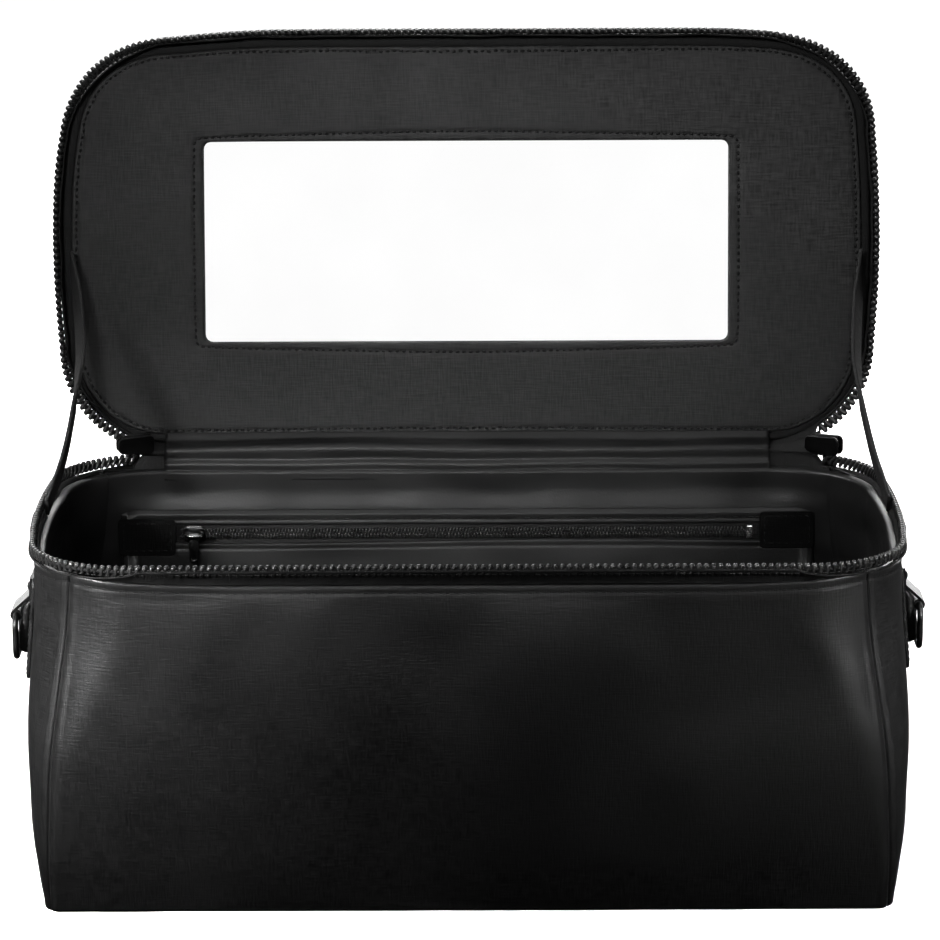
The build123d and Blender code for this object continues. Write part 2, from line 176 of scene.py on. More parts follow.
class Loop:
    """A closed line in plan, measured along its length from the middle of its front."""

    def __init__(self, points):
        self.ring = closed(points)
        self.at = lengths_along(self.ring)
        self.length = self.at[-1]

    def point(self, s):
        s = np.mod(s, self.length)
        return np.stack([np.interp(s, self.at, self.ring[:, k]) for k in (0, 1)], axis=-1)

    def outward(self, s):
        ahead = unit(self.point(s + OUTWARD_REACH) - self.point(s - OUTWARD_REACH))
        return np.stack([ahead[..., 1], -ahead[..., 0]], axis=-1)


RIM = Loop(outline(RIM_X, RIM_Y, RIM_CORNER, RIM_BOW))


def rim_point(s, depth, height):
    """A point beside the rim: in from the outside face, and up from the zip line."""
    s, depth, height = np.broadcast_arrays(np.asarray(s, float), depth, height)
    flat = RIM.point(s) - RIM.outward(s) * depth[..., None]
    return np.concatenate([flat, (ZIP_Z + height)[..., None]], axis=-1)


def rim_outward(s):
    flat = RIM.outward(s)
    return np.concatenate([flat, np.zeros(flat.shape[:-1] + (1,))], axis=-1)


def rim_distance(x):
    """How far along the rim its right back corner passes this x."""
    s = np.linspace(RIM.length / 4, RIM.length / 2, 2000)
    return float(np.interp(-x, -RIM.point(s)[:, 0], s))


def slumped(points):
    """The soft lid with its front edge and front corners drawn in a little, the left one most."""
    x, y = points[..., 0], points[..., 1]
    near_front = np.exp(-(((y + RIM_Y) / 0.030) ** 2))
    left, right = np.exp(-(((x + 0.134) / 0.034) ** 2)), np.exp(-(((x - 0.131) / 0.020) ** 2))
    points[..., 1] = y + near_front * (0.0012 + 0.0036 * left + 0.0018 * right)
    side = np.exp(-(((y + 0.060) / 0.022) ** 2)) * np.exp(-(((x + RIM_X) / 0.035) ** 2))
    points[..., 0] = x + 0.0026 * side
    return points


def opened(points):
    """Points laid out with the lid closed, turned about the hinge to where the open lid has them."""
    points = slumped(np.array(points, float))
    y, z = points[..., 1] - HINGE_Y, points[..., 2] - ZIP_Z
    points[..., 1] = HINGE_Y + y * cos(OPEN_TURN) + z * sin(OPEN_TURN)
    points[..., 2] = ZIP_Z - y * sin(OPEN_TURN) + z * cos(OPEN_TURN)
    return points


def body_level(z):
    """The body's outline at a height, its levels eased into each other."""
    near = z + LEVEL_EASE * np.linspace(-1, 1, 9)
    return outline(*(np.interp(near, LEVELS[:, 0], LEVELS[:, k]).mean() for k in (1, 2, 3, 4)))


def seam_plane():
    """A point on the front right corner seam's plane, and its direction towards the end wall."""
    turn = np.arcsin((SEAM_TOP_X - (RIM_X - RIM_BOW - RIM_CORNER)) / RIM_CORNER)
    top = np.array((SEAM_TOP_X, RIM_CORNER * (1 - np.cos(turn)) - RIM_Y, WALL_TOP))
    base = np.array((SEAM_BASE_X, -LEVELS[0, 2], 0))
    across = np.cross(base - top, (np.sin(turn), -np.cos(turn), 0))
    return top, across * np.sign(across[0])


SEAM_POINT, SEAM_ACROSS = seam_plane()


def wall_surface(wall, heights, across, depth=0.0):
    """Rows of points on one wall from seam to seam, their outward directions, and the distances
    along each row from the wall's middle and from its nearer seam."""
    points, outward, along, edge = [], [], [], []
    for z in heights:
        loop = Loop(body_level(z))
        s = np.linspace(0, loop.length / 4, 800)
        front = np.column_stack([loop.point(s), np.full(len(s), z)])
        seam = float(np.interp(0, (front - SEAM_POINT) @ SEAM_ACROSS, s))
        half = loop.length / 2
        start, end = {
            "front": (-seam, seam),
            "right": (seam, half - seam),
            "back": (half - seam, half + seam),
            "left": (half + seam, loop.length - seam),
        }[wall]
        s = start + (end - start) * across
        normal = loop.outward(s)
        points.append(np.column_stack([loop.point(s) - normal * depth, np.full(len(s), z)]))
        outward.append(np.column_stack([normal, np.zeros(len(s))]))
        along.append(s - (start + end) / 2)
        edge.append(np.minimum(s - start, end - s))
    return np.array(points), np.array(outward), np.array(along), np.array(edge)


def turned_in(distance, radius):
    """How far a surface has rolled in at this distance from its edge."""
    inside = np.clip(1 - distance / radius, 0, 1)
    return radius * (1 - np.sqrt(1 - inside ** 2))


def risen(distance, scale):
    """0 at an edge, rising towards 1 away from it."""
    return 1 - np.exp(-distance / scale)


def edges_of(grid):
    """True for the points round the outside of a grid."""
    outside = np.zeros(grid.shape[:2], bool)
    outside[[0, -1]] = outside[:, [0, -1]] = True
    return outside


def ridge(distance, at, width):
    """A narrow smooth ridge at this distance."""
    return np.exp(-(((distance - at) / width) ** 2))


def spaced(length, coarse, fine, edge):
    """Distances from 0 to a length, close together near both ends."""
    ends = np.arange(0, edge, fine)
    middle = np.linspace(edge, length - edge, max(2, round((length - 2 * edge) / coarse) + 1))
    return np.concatenate([ends, middle, length - ends[::-1]])


def uneven(points, wavelength, seed, waves=14):
    """A smooth random height for each point, mostly between -1 and 1."""
    draw = np.random.default_rng(seed)
    directions = unit(draw.normal(size=(waves, 3)))
    turns = directions * (2 * pi / (wavelength * draw.uniform(0.7, 1.7, waves)))[:, None]
    return np.sin(points @ turns.T + draw.uniform(0, 2 * pi, waves)).sum(-1) / np.sqrt(waves)


# ============================================== shapes ==============================================
class Shape:
    """Points, faces and a UV for each face corner, before they become an object."""

    def __init__(self, points, faces, uv):
        self.points = np.asarray(points, float)
        self.faces = faces
        self.uv = np.asarray(uv, float)

    def __add__(self, other):
        count = len(self.points)
        faces = self.faces + [tuple(i + count for i in face) for face in other.faces]
        return Shape(np.vstack([self.points, other.points]), faces, np.vstack([self.uv, other.uv]))

    def moved(self, place):
        """The shape carried by a 4 x 4 matrix."""
        matrix = np.array(place)
        return Shape(self.points @ matrix[:3, :3].T + matrix[:3, 3], self.faces, self.uv)

    def open(self):
        return Shape(opened(self.points), self.faces, self.uv)


def joined(shapes):
    """Several shapes as one."""
    return reduce(Shape.__add__, shapes)


def running(grid, axis, wrap):
    """Distance along one direction of a grid, averaged over the other direction."""
    if wrap:
        grid = np.concatenate([grid, np.take(grid, [0], axis)], axis)
    steps = np.linalg.norm(np.diff(grid, axis=axis), axis=-1).mean(axis=1 - axis)
    return np.concatenate([[0], np.cumsum(steps)])


def surface(grid, uv=None, wrap_rows=False, wrap_columns=False, caps=False):
    """Quads over a grid of points, with UVs in metres. Caps close the ends of a wrapped tube."""
    rows, columns = grid.shape[:2]
    if uv is None:
        v, u = running(grid, 0, wrap_rows), running(grid, 1, wrap_columns)
        uv = np.stack(np.meshgrid(u, v), axis=-1)
    r, c = np.meshgrid(np.arange(rows - (not wrap_rows)), np.arange(columns - (not wrap_columns)),
                       indexing="ij")
    r, c = r.ravel(), c.ravel()
    corners = [(r, c), (r, c + 1), (r + 1, c + 1), (r + 1, c)]
    faces = np.stack([(a % rows) * columns + b % columns for a, b in corners], axis=-1)
    last_row, last_column = uv.shape[0] - 1, uv.shape[1] - 1
    corner_uv = np.stack(
        [uv[np.minimum(a, last_row), np.minimum(b, last_column)] for a, b in corners], axis=1)
    faces, corner_uv = [tuple(f) for f in faces.tolist()], corner_uv.reshape(-1, 2)
    if caps:
        first = tuple(range(columns - 1, -1, -1))
        final = tuple(range((rows - 1) * columns, rows * columns))
        faces += [first, final]
        corner_uv = np.vstack([corner_uv, np.zeros((2 * columns, 2))])
    return Shape(grid.reshape(-1, 3), faces, corner_uv)


def plan_uv(grid):
    """UVs of a wrapped grid, taken from above."""
    return np.concatenate([grid[..., :2], grid[:, :1, :2]], axis=1)


def upright(x, y, z):
    """A flat grid of points facing the front."""
    grid = np.zeros((len(z), len(x), 3))
    grid[..., 0], grid[..., 1], grid[..., 2] = x[None], y, z[:, None]
    return grid


def tube(line, radius, sides=8, reference=UP):
    """A wire along a line of points."""
    ahead = unit(np.gradient(line, axis=0))
    side = unit(np.cross(ahead, np.broadcast_to(reference, line.shape)))
    up = np.cross(side, ahead)
    turn = np.arange(sides) * 2 * pi / sides
    radius = np.broadcast_to(radius, len(line))[:, None, None]
    grid = (line[:, None] + side[:, None] * radius * np.cos(turn)[None, :, None]
            + up[:, None] * radius * np.sin(turn)[None, :, None])
    return surface(grid, wrap_columns=True, caps=True)


def rounded_rectangle(width, height, corner, steps=6):
    """Points round a rounded rectangle in the plane, anticlockwise."""
    turn = np.linspace(0, pi / 2, steps)
    arc = corner * np.stack([np.cos(turn), np.sin(turn)], axis=-1)
    x, y = width / 2 - corner, height / 2 - corner
    spin = [np.array([[cos(a), -sin(a)], [sin(a), cos(a)]]) for a in (0, pi / 2, pi, 3 * pi / 2)]
    centres = [(x, y), (-x, y), (-x, -y), (x, -y)]
    return np.vstack([arc @ turn_by.T + centre for turn_by, centre in zip(spin, centres)])


def shrunk(points, inset):
    """A closed plane line moved in by a distance."""
    ahead = unit(np.roll(points, -1, axis=0) - np.roll(points, 1, axis=0))
    return points + inset * np.stack([-ahead[:, 1], ahead[:, 0]], axis=-1)


def bevel_rings(thickness, bevel, steps=3):
    """Insets and heights of the rings that round off both faces of a plate."""
    turn = np.linspace(0, pi / 2, steps + 1)
    low = [(bevel * (1 - np.sin(a)), bevel * (1 - np.cos(a))) for a in turn]
    return low + [(inset, thickness - height) for inset, height in reversed(low)]


def plate(border, thickness, bevel, hole=None):
    """A flat plate with rounded edges, lying on the XY plane, with or without a hole."""
    def ring(line, inset, height):
        return np.column_stack([shrunk(line, inset), np.full(len(line), height)])
    outer = [ring(border, inset, height) for inset, height in bevel_rings(thickness, bevel)]
    if hole is None:
        made = surface(np.array(outer), wrap_columns=True, caps=True)
    else:
        inner = [ring(hole, -inset, height) for inset, height in bevel_rings(thickness, bevel)]
        made = surface(np.array(outer + inner[::-1]), wrap_rows=True, wrap_columns=True)
    corners = np.concatenate([np.array(face) for face in made.faces])
    made.uv = made.points[corners, :2]
    return made


def box_plate(low, high, bevel):
    """A plate that fills a box with its thickness along Y, its edges rounded."""
    width, depth, height = high[0] - low[0], high[1] - low[1], high[2] - low[2]
    middle = ((low[0] + high[0]) / 2, high[1], (low[2] + high[2]) / 2)
    face = plate(rounded_rectangle(width, height, min(width, height) * 0.12), depth, bevel)
    return face.moved(Matrix.Translation(middle) @ Matrix.Rotation(pi / 2, 4, "X"))


def axes(origin, x, y, z):
    """The matrix of a frame given by its origin and directions."""
    made = np.eye(4)
    made[:3, 0], made[:3, 1], made[:3, 2], made[:3, 3] = x, y, z, origin
    return made


def stitches(line, normals, pitch=STITCH_PITCH, length=0.0022, width=0.00065, sink=0.0002):
    """A row of sewn stitches along a line on a surface, each a slim bead half sunk in it."""
    at = lengths_along(line)
    middles = np.arange(pitch / 2, at[-1] - pitch / 4, pitch)

    def sample(values, s):
        return np.stack([np.interp(s, at, values[:, k]) for k in range(3)], axis=-1)

    centre = sample(line, middles)
    ahead = unit(sample(line, middles + length / 3) - sample(line, middles - length / 3))
    up = sample(normals, middles)
    up = unit(up - ahead * (up * ahead).sum(1)[:, None])
    side = np.cross(ahead, up)
    swell = ((-0.5, 0.25), (-0.42, 0.75), (-0.2, 1.0), (0.2, 1.0), (0.42, 0.75), (0.5, 0.25))
    turn = np.arange(6) * pi / 3
    bead = np.array([[(t * length, r * width / 2 * cos(a), r * width / 2 * sin(a)) for a in turn]
                     for t, r in swell])
    local = bead.reshape(-1, 3)
    points = (centre[:, None] - up[:, None] * sink + ahead[:, None] * local[None, :, :1]
              + side[:, None] * local[None, :, 1:2] + up[:, None] * local[None, :, 2:])
    template = surface(bead, wrap_columns=True, caps=True)
    count = len(local)
    faces = [tuple(i + k * count for i in face) for k in range(len(centre)) for face in template.faces]
    return Shape(points.reshape(-1, 3), faces, np.tile(template.uv, (len(centre), 1)))


def coil(s, centre, out, up, height=COIL_HEIGHT, depth=COIL_DEPTH, wire=COIL_WIRE,
         pitch=COIL_PITCH, steps=14, sides=6, square=0.85):
    """A zip's continuous coil wound along a line. centre, out and up give its line and directions
    at any distance along it. square sets the legs on its out side straight across, or with a minus
    sign those on its other side."""
    loops = int((s[1] - s[0]) / pitch)
    turn = np.linspace(0, loops * 2 * pi, loops * steps + 1)
    along = s[0] + pitch * (turn - square * np.sin(turn)) / (2 * pi)
    tall = (height / 2 - wire) * np.sin(turn) - 0.4 * wire * np.clip(np.sin(turn), 0, 1)
    deep = (depth / 2 - wire) * np.sign(np.cos(turn)) * np.abs(np.cos(turn)) ** 0.7
    line = centre(along) + up(along) * tall[:, None] + out(along) * deep[:, None]
    radial = up(along) * np.sin(turn)[:, None] + out(along) * np.cos(turn)[:, None]
    head = wire * (1 + 0.4 * np.clip(np.sin(turn), 0, 1) ** 3)
    return tube(line, head, sides=sides, reference=radial)


# ========================================== cloth simulation ========================================
CLOTH_FRAMES = 18


def relaxed(grid, pinned, pressure, slack, cap, wrap_columns=False, bending=0.6):
    """How far each point of a cloth grid moves when its pinned points are held, its fabric is a
    little larger than the space it has, and its padding presses it out."""
    cloth = make_object("relaxing", surface(grid, wrap_columns=wrap_columns))
    group = cloth.vertex_groups.new(name="pinned")
    group.add([int(i) for i in np.flatnonzero(pinned.ravel())], 1.0, "REPLACE")
    cloth.modifiers.new("cloth", "CLOTH")
    modifier = cloth.modifiers["cloth"]
    settings = modifier.settings
    settings.quality = 6
    settings.mass = 0.2
    settings.tension_stiffness = settings.compression_stiffness = 12
    settings.shear_stiffness = 6
    settings.bending_stiffness = bending
    settings.air_damping = 2
    settings.vertex_group_mass = "pinned"
    settings.shrink_min = -slack
    settings.use_pressure = True
    settings.uniform_pressure_force = pressure
    settings.pressure_factor = 0
    settings.effector_weights.gravity = 0
    modifier.point_cache.frame_start = 1
    modifier.point_cache.frame_end = CLOTH_FRAMES
    for step in range(1, CLOTH_FRAMES + 1):
        bpy.context.scene.frame_set(step)
    final = cloth.evaluated_get(bpy.context.evaluated_depsgraph_get()).to_mesh()
    moved = np.array([v.co for v in final.vertices]).reshape(grid.shape) - grid
    bpy.data.objects.remove(cloth)
    bpy.context.scene.frame_set(1)
    length = np.linalg.norm(moved, axis=-1, keepdims=True)
    return moved * np.tanh(length / cap) * cap / np.maximum(length, 1e-9)


def smoothed(field, passes, wrap_columns=False):
    """A grid of values with each one drawn towards its neighbours."""
    for _ in range(passes):
        tall = np.pad(field, ((1, 1), (0, 0), (0, 0)), "edge")
        wide = np.pad(field, ((0, 0), (1, 1), (0, 0)), "wrap" if wrap_columns else "edge")
        field = (4 * field + tall[2:] + tall[:-2] + wide[:, 2:] + wide[:, :-2]) / 8
    return field


def resampled(field, rows, columns, new_rows, new_columns):
    """A grid of values read at other rows and columns."""
    tall = np.stack([[np.interp(new_rows, rows, field[:, c, k]) for c in range(field.shape[1])]
                     for k in range(3)], axis=-1)
    return np.stack([[np.interp(new_columns, columns, tall[:, r, k]) for r in range(len(new_rows))]
                     for k in range(3)], axis=-1)


# ============================================= materials ============================================
class Finish:
    """A material being put together: its Principled shader and the nodes that feed it."""

    def __init__(self, name, constants):
        self.material = bpy.data.materials.new(name)
        self.material.use_nodes = True
        self.tree = self.material.node_tree
        self.shader = self.tree.nodes["Principled BSDF"]
        for socket, value in constants.items():
            self.shader.inputs[socket].default_value = value

    def node(self, kind, inputs, **settings):
        made = self.tree.nodes.new("ShaderNode" + kind)
        for key, value in settings.items():
            setattr(made, key, value)
        for socket, value in inputs.items():
            if isinstance(value, bpy.types.NodeSocket):
                self.tree.links.new(value, made.inputs[socket])
            else:
                made.inputs[socket].default_value = value
        return made.outputs

    def coordinates(self, kind="UV"):
        return self.node("TexCoord", {})[kind]

    def scaled(self, where, size):
        """Coordinates in which features of this size in metres are 1 across."""
        sizes = size if isinstance(size, tuple) else (size,) * 3
        return self.node("Mapping", {"Vector": where, "Scale": [1 / s for s in sizes]})["Vector"]

    def noise(self, where, size, detail=2.0):
        """Noise from 0 to 1, with features of this size in metres along each direction."""
        settings = {"Vector": self.scaled(where, size), "Scale": 1.0, "Detail": detail}
        return self.node("TexNoise", settings)["Fac"]

    def math(self, operation, a, b):
        return self.node("Math", {0: a, 1: b}, operation=operation)[0]

    def ramp(self, socket, value, *stops):
        """Drives a socket with a value read off a ramp of two (position, grey or colour) stops."""
        made = self.tree.nodes.new("ShaderNodeValToRGB")
        self.tree.links.new(value, made.inputs["Fac"])
        for element, (position, colour) in zip(made.color_ramp.elements, stops):
            colour = colour if isinstance(colour, tuple) else (colour,) * 3
            element.position, element.color = position, (*colour, 1.0)
        self.tree.links.new(made.outputs["Color"], self.shader.inputs[socket])

    def bump(self, height, distance):
        made = self.node("Bump", {"Height": height, "Distance": distance, "Strength": 1.0})
        self.tree.links.new(made["Normal"], self.shader.inputs["Normal"])


def woven(finish, where, thread, slub):
    """Height of a plain weave of uneven threads: fine ribs both ways, thick and thin along them."""
    ribs = finish.math("ADD", finish.noise(where, (thread, slub, 1.0), 1.0),
                       finish.noise(where, (slub, thread, 1.0), 1.0))
    return finish.math("MULTIPLY", ribs, 0.5)


def coated_fabric(name, dark, light, roughness, bump, slub=0.0060, gloss=0.06):
    """Black coated cloth: a fine linen weave under a thin film, rubbed a little unevenly."""
    finish = Finish(name, {"Specular IOR Level": gloss})
    where = finish.coordinates()
    weave = woven(finish, where, 0.00065, slub)
    cloudy = finish.noise(where, 0.03, 4.0)
    tone = finish.math("ADD", finish.math("MULTIPLY", weave, 0.9), finish.math("MULTIPLY", cloudy, 0.1))
    finish.ramp("Base Color", tone, (0.36, dark), (0.64, light))
    rubbed = finish.math("ADD", cloudy, finish.math("MULTIPLY", weave, 0.5))
    finish.ramp("Roughness", rubbed, (0.5, roughness[0]), (0.95, roughness[1]))
    finish.bump(weave, bump)
    return finish.material


def glossy_lining(name, dark, light, gloss):
    """Thin black coated lining: smooth and shiny with a faint grain and handling marks."""
    finish = Finish(name, {"Specular IOR Level": gloss})
    where = finish.coordinates()
    grain = finish.noise(where, 0.0009, 2.0)
    marks = finish.noise(where, (0.05, 0.012, 1.0), 4.0)
    finish.ramp("Base Color", marks, (0.3, dark), (0.7, light))
    finish.ramp("Roughness", marks, (0.35, 0.34), (0.75, 0.46))
    finish.bump(finish.math("ADD", finish.math("MULTIPLY", grain, 0.25), marks), 0.0002)
    return finish.material


def tape_weave(name, tone, thread=0.0006):
    """Close black tape, ribbed across its length."""
    finish = Finish(name, {"Specular IOR Level": 0.04})
    where = finish.coordinates()
    ribs = finish.noise(where, (thread, 0.004, 1.0), 1.0)
    picks = finish.noise(where, (0.003, thread * 0.8, 1.0), 1.0)
    weave = finish.math("MULTIPLY", finish.math("ADD", ribs, picks), 0.5)
    finish.ramp("Base Color", weave, (0.35, tone * 0.5), (0.65, tone * 1.6))
    finish.ramp("Roughness", weave, (0.3, 0.6), (0.7, 0.9))
    finish.bump(weave, 0.0003)
    return finish.material


def coil_nylon(name, gloss):
    """Black nylon wire, a little cloudy."""
    finish = Finish(name, {"Specular IOR Level": gloss})
    where = finish.coordinates("Object")
    cloudy = finish.noise(where, 0.004, 3.0)
    finish.ramp("Base Color", cloudy, (0.3, 0.0015), (0.7, 0.005))
    finish.ramp("Roughness", cloudy, (0.3, 0.22), (0.7, 0.4))
    finish.bump(finish.noise(where, 0.0008, 2.0), 0.00008)
    return finish.material


def worn_metal(name, tone, low, high):
    """Plated metal with fine brushing, handling marks and duller patches."""
    finish = Finish(name, {"Metallic": 1.0})
    where = finish.coordinates("Object")
    patches = finish.noise(where, 0.006, 4.0)
    brushed = finish.noise(where, (0.004, 0.0004, 0.0004), 2.0)
    finish.ramp("Base Color", patches, (0.3, tone * 0.8), (0.7, tone))
    worn = finish.math("MULTIPLY", finish.math("ADD", patches, brushed), 0.5)
    finish.ramp("Roughness", worn, (0.35, low), (0.65, high))
    finish.bump(brushed, 0.00004)
    return finish.material


def mirror_silver():
    """Silvered glass with a faint haze."""
    finish = Finish("mirror_silver", {"Metallic": 1.0})
    haze = finish.noise(finish.coordinates("Object"), 0.05, 3.0)
    finish.ramp("Base Color", haze, (0.3, 0.97), (0.7, 1.0))
    finish.ramp("Roughness", haze, (0.3, 0.015), (0.8, 0.03))
    return finish.material


def tab_leather():
    """Black grained leather, glazed and a little rubbed."""
    finish = Finish("tab_hide", {"Specular IOR Level": 0.06})
    where = finish.coordinates("Object")
    cells = {"Vector": finish.scaled(where, 1 / 900), "Scale": 1.0}
    cells = finish.node("TexVoronoi", cells, feature="SMOOTH_F1")["Distance"]
    rubbed = finish.noise(where, 0.01, 4.0)
    finish.ramp("Base Color", rubbed, (0.3, 0.0006), (0.7, 0.0020))
    finish.ramp("Roughness", rubbed, (0.3, 0.35), (0.7, 0.55))
    finish.bump(cells, 0.0002)
    return finish.material


def plain_stock(name, dark, light, grain):
    """Board or foam, mottled and pitted."""
    finish = Finish(name, {"Roughness": 0.9, "Specular IOR Level": 0.2})
    where = finish.coordinates("Object")
    pits = finish.noise(where, grain, 4.0)
    finish.ramp("Base Color", pits, (0.35, dark), (0.65, light))
    finish.bump(pits, grain * 0.2)
    return finish.material


def thread_black():
    """Twisted sewing thread."""
    finish = Finish("thread_black", {"Specular IOR Level": 0.03})
    strand = finish.noise(finish.coordinates(), (0.0004, 0.0002, 1.0), 2.0)
    finish.ramp("Base Color", strand, (0.3, 0.0004), (0.7, 0.0020))
    finish.ramp("Roughness", strand, (0.3, 0.45), (0.7, 0.7))
    finish.bump(strand, 0.0001)
    return finish.material


OUTER = coated_fabric("outer_cloth", 0.0005, 0.0022, (0.34, 0.44), 0.00017, gloss=0.055)
LID_CLOTH = coated_fabric("lid_cloth", 0.0005, 0.0062, (0.60, 0.80), 0.00022, slub=0.0075)
# the pocket end patches: matte black patch fabric, painted darker than the outer cloth to stand in for the
# shadow at the pocket's ends
PATCH_CLOTH_WITH_PAINTED_SHADE = coated_fabric("patch_cloth", 0.0003, 0.0010, (0.80, 0.95), 0.00015, gloss=0.01)
LINING = glossy_lining("lining_coat", 0.0012, 0.0028, 0.045)
HINGE_COAT = glossy_lining("hinge_coat", 0.0008, 0.0020, 0.050)
TAPE = tape_weave("zip_tape_weave", 0.0010)
WEBBING = tape_weave("webbing_weave", 0.0030, 0.0011)
NYLON = coil_nylon("coil_nylon", 0.11)
FINE_NYLON = coil_nylon("fine_coil_nylon", 0.05)
DULL = worn_metal("dull_plate", 0.045, 0.12, 0.26)
GUNMETAL = worn_metal("black_plate", 0.010, 0.30, 0.50)
SLIDER = worn_metal("slider_plate", 0.0045, 0.30, 0.50)
BRIGHT = worn_metal("bright_plate", 0.55, 0.12, 0.3)
SILVER = mirror_silver()
HIDE = tab_leather()
THREAD = thread_black()
BOARD = plain_stock("fibre_board", (0.018, 0.017, 0.016), (0.036, 0.034, 0.031), 0.002)
FOAM = plain_stock("foam_black", 0.010, 0.022, 0.0012)


# ============================================== pieces ==============================================
def make_object(name, shape, weld=False):
    """A mesh object. Weld joins points that lie together."""
    mesh = bpy.data.meshes.new(name)
    mesh.from_pydata(shape.points.tolist(), [], shape.faces)
    layer = mesh.uv_layers.new(name="metres")
    layer.data.foreach_set("uv", shape.uv.ravel())
    mesh.polygons.foreach_set("use_smooth", [len(face) < 5 for face in shape.faces])
    if weld:
        joined = bmesh.new()
        joined.from_mesh(mesh)
        bmesh.ops.remove_doubles(joined, verts=joined.verts, dist=1e-6)
        joined.to_mesh(mesh)
        joined.free()
    made = bpy.data.objects.new(name, mesh)
    bpy.context.scene.collection.objects.link(made)
    return made


def piece(name, shape, material, body="case", replaces=(), skin=0.0, weld=False):
    """An object of the case: its finish, the body it rides on, and the CAD nodes it stands for.
    A skin gives an open surface its thickness, inwards."""
    made = make_object(name, shape, weld)
    made.data.materials.append(material)
    if skin:
        solid = made.modifiers.new("skin", "SOLIDIFY")
        solid.thickness, solid.offset = skin, -1.0
    if body:
        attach(made, body)
    if replaces:
        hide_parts(*replaces)
    return made


# =========================================== stage and camera =======================================
FLOOR_REACH = 6.0
WALLS_AWAY = 3.4
WORLD_GLOW = 0.05
SUN_POWER = 3.4
SUN_SIZE = radians(50)
# each soft box's place, the point it faces, its side, its power, and its light's spread in degrees
SOFT_BOXES = {
    "left_box": ((-0.55, -0.46, 0.40), (-0.185, -0.08, 0.118), 0.12, 1.7, 19),
    "right_box": ((0.60, -0.45, 0.40), (0.185, -0.08, 0.110), 0.12, 0.65, 19),
    "lid_box": ((-0.30, -1.30, 0.75), (0, 0.12, 0.26), 0.25, 1.3, 20),
    "inside_box": ((-0.40, 0.0, 0.75), (0.15, 0.03, 0.10), 0.20, 0.8, 30),
    "key": ((-0.05, -0.50, 0.66), (0, 0, 0.16), 0.4, 5.5, 180),
    "back_left": ((-0.7, 1.3, 0.50), (0, 0.1, 0.15), 0.5, 15.0, 180),
    "back_right": ((0.8, 1.25, 0.50), (0, 0.1, 0.15), 0.5, 12.0, 180),
    "back_key": ((0.05, 0.95, 0.30), (0, 0.1, 0.10), 0.4, 14.0, 180),
}


def make_stage():
    """A pale floor, a dim world, a broad sun overhead, soft boxes, and white walls to reflect."""
    reach = FLOOR_REACH
    floor = make_object("floor", surface(np.array([[(-reach, -reach, 0), (reach, -reach, 0)],
                                                   [(-reach, reach, 0), (reach, reach, 0)]])))
    finish = Finish("floor_paper", {"Roughness": 0.9, "Specular IOR Level": 0.1})
    finish.ramp("Base Color", finish.noise(finish.coordinates(), 0.3, 3.0), (0.3, 0.90), (0.7, 0.92))
    floor.data.materials.append(finish.material)
    floor.visible_diffuse = floor.visible_glossy = False

    world = bpy.data.worlds.new("studio")
    bpy.context.scene.world = world
    world.use_nodes = True
    background = world.node_tree.nodes["Background"]
    background.inputs["Color"].default_value = (1.0, 1.0, 1.0, 1.0)
    background.inputs["Strength"].default_value = WORLD_GLOW

    def hung(name, kind, at, aim):
        lamp = bpy.data.lights.new(name, kind)
        holder = bpy.data.objects.new(name, lamp)
        bpy.context.scene.collection.objects.link(holder)
        holder.location = at
        holder.rotation_mode = "QUATERNION"
        holder.rotation_quaternion = (Vector(at) - Vector(aim)).to_track_quat("Z", "Y")
        return lamp

    overhead = hung("overhead", "SUN", (0, 0, 3), (0, 0, 0))
    overhead.energy, overhead.angle = SUN_POWER, SUN_SIZE
    for name, (at, aim, size, power, spread) in SOFT_BOXES.items():
        lamp = hung(name, "AREA", at, aim)
        lamp.shape, lamp.size, lamp.energy, lamp.spread = "SQUARE", size, power, radians(spread)

    # white walls all round, for the mirror and the metal to reflect
    turn = np.linspace(0, 2 * pi, 48, endpoint=False)
    walls = make_object("walls", surface(np.array([np.column_stack([
        WALLS_AWAY * np.cos(turn), WALLS_AWAY * np.sin(turn), np.full(len(turn), height)])
        for height in (0.0, 0.5, 1.0)]), wrap_columns=True))
    glow = bpy.data.materials.new("wall_white")
    glow.use_nodes = True
    glow.node_tree.nodes.clear()
    emission = glow.node_tree.nodes.new("ShaderNodeEmission")
    output = glow.node_tree.nodes.new("ShaderNodeOutputMaterial")
    emission.inputs["Strength"].default_value = 1.0
    glow.node_tree.links.new(emission.outputs["Emission"], output.inputs["Surface"])
    walls.data.materials.append(glow)
    walls.visible_diffuse = walls.visible_shadow = False


CAMERA_AT = (-0.0011, -1.6056, 0.5659)
CAMERA_PITCH = radians(14.56)
CAMERA_YAW = radians(0.074)
CAMERA_ROLL = radians(-0.213)
CAMERA_LENS = 165.7       # on a 36 mm sensor


def make_camera():
    """A long lens from the photo's angle."""
    ahead = np.array((sin(CAMERA_YAW) * cos(CAMERA_PITCH), cos(CAMERA_YAW) * cos(CAMERA_PITCH),
                      -sin(CAMERA_PITCH)))
    right = np.array((cos(CAMERA_YAW), -sin(CAMERA_YAW), 0))
    up = np.cross(right, ahead)
    across = cos(CAMERA_ROLL) * right + sin(CAMERA_ROLL) * up
    tall = cos(CAMERA_ROLL) * up - sin(CAMERA_ROLL) * right
    data = bpy.data.cameras.new("camera")
    data.lens, data.sensor_width = CAMERA_LENS, 36
    data.clip_start, data.clip_end = 0.05, 50
    camera = bpy.data.objects.new("camera", data)
    camera.matrix_world = Matrix(axes(CAMERA_AT, across, tall, -ahead).tolist())
    bpy.context.scene.collection.objects.link(camera)
    bpy.context.scene.camera = camera


make_stage()
make_camera()
bpy.context.scene.view_settings.view_transform = "Standard"


# ============================================ body panels ===========================================
# how far each wall's padded fabric stands out from its board
WALL_SWELL = {"front": 0.0056, "back": 0.0040, "left": 0.0, "right": 0.0}
WALL_SEED = {"front": 5, "back": 6, "left": 7, "right": 8}
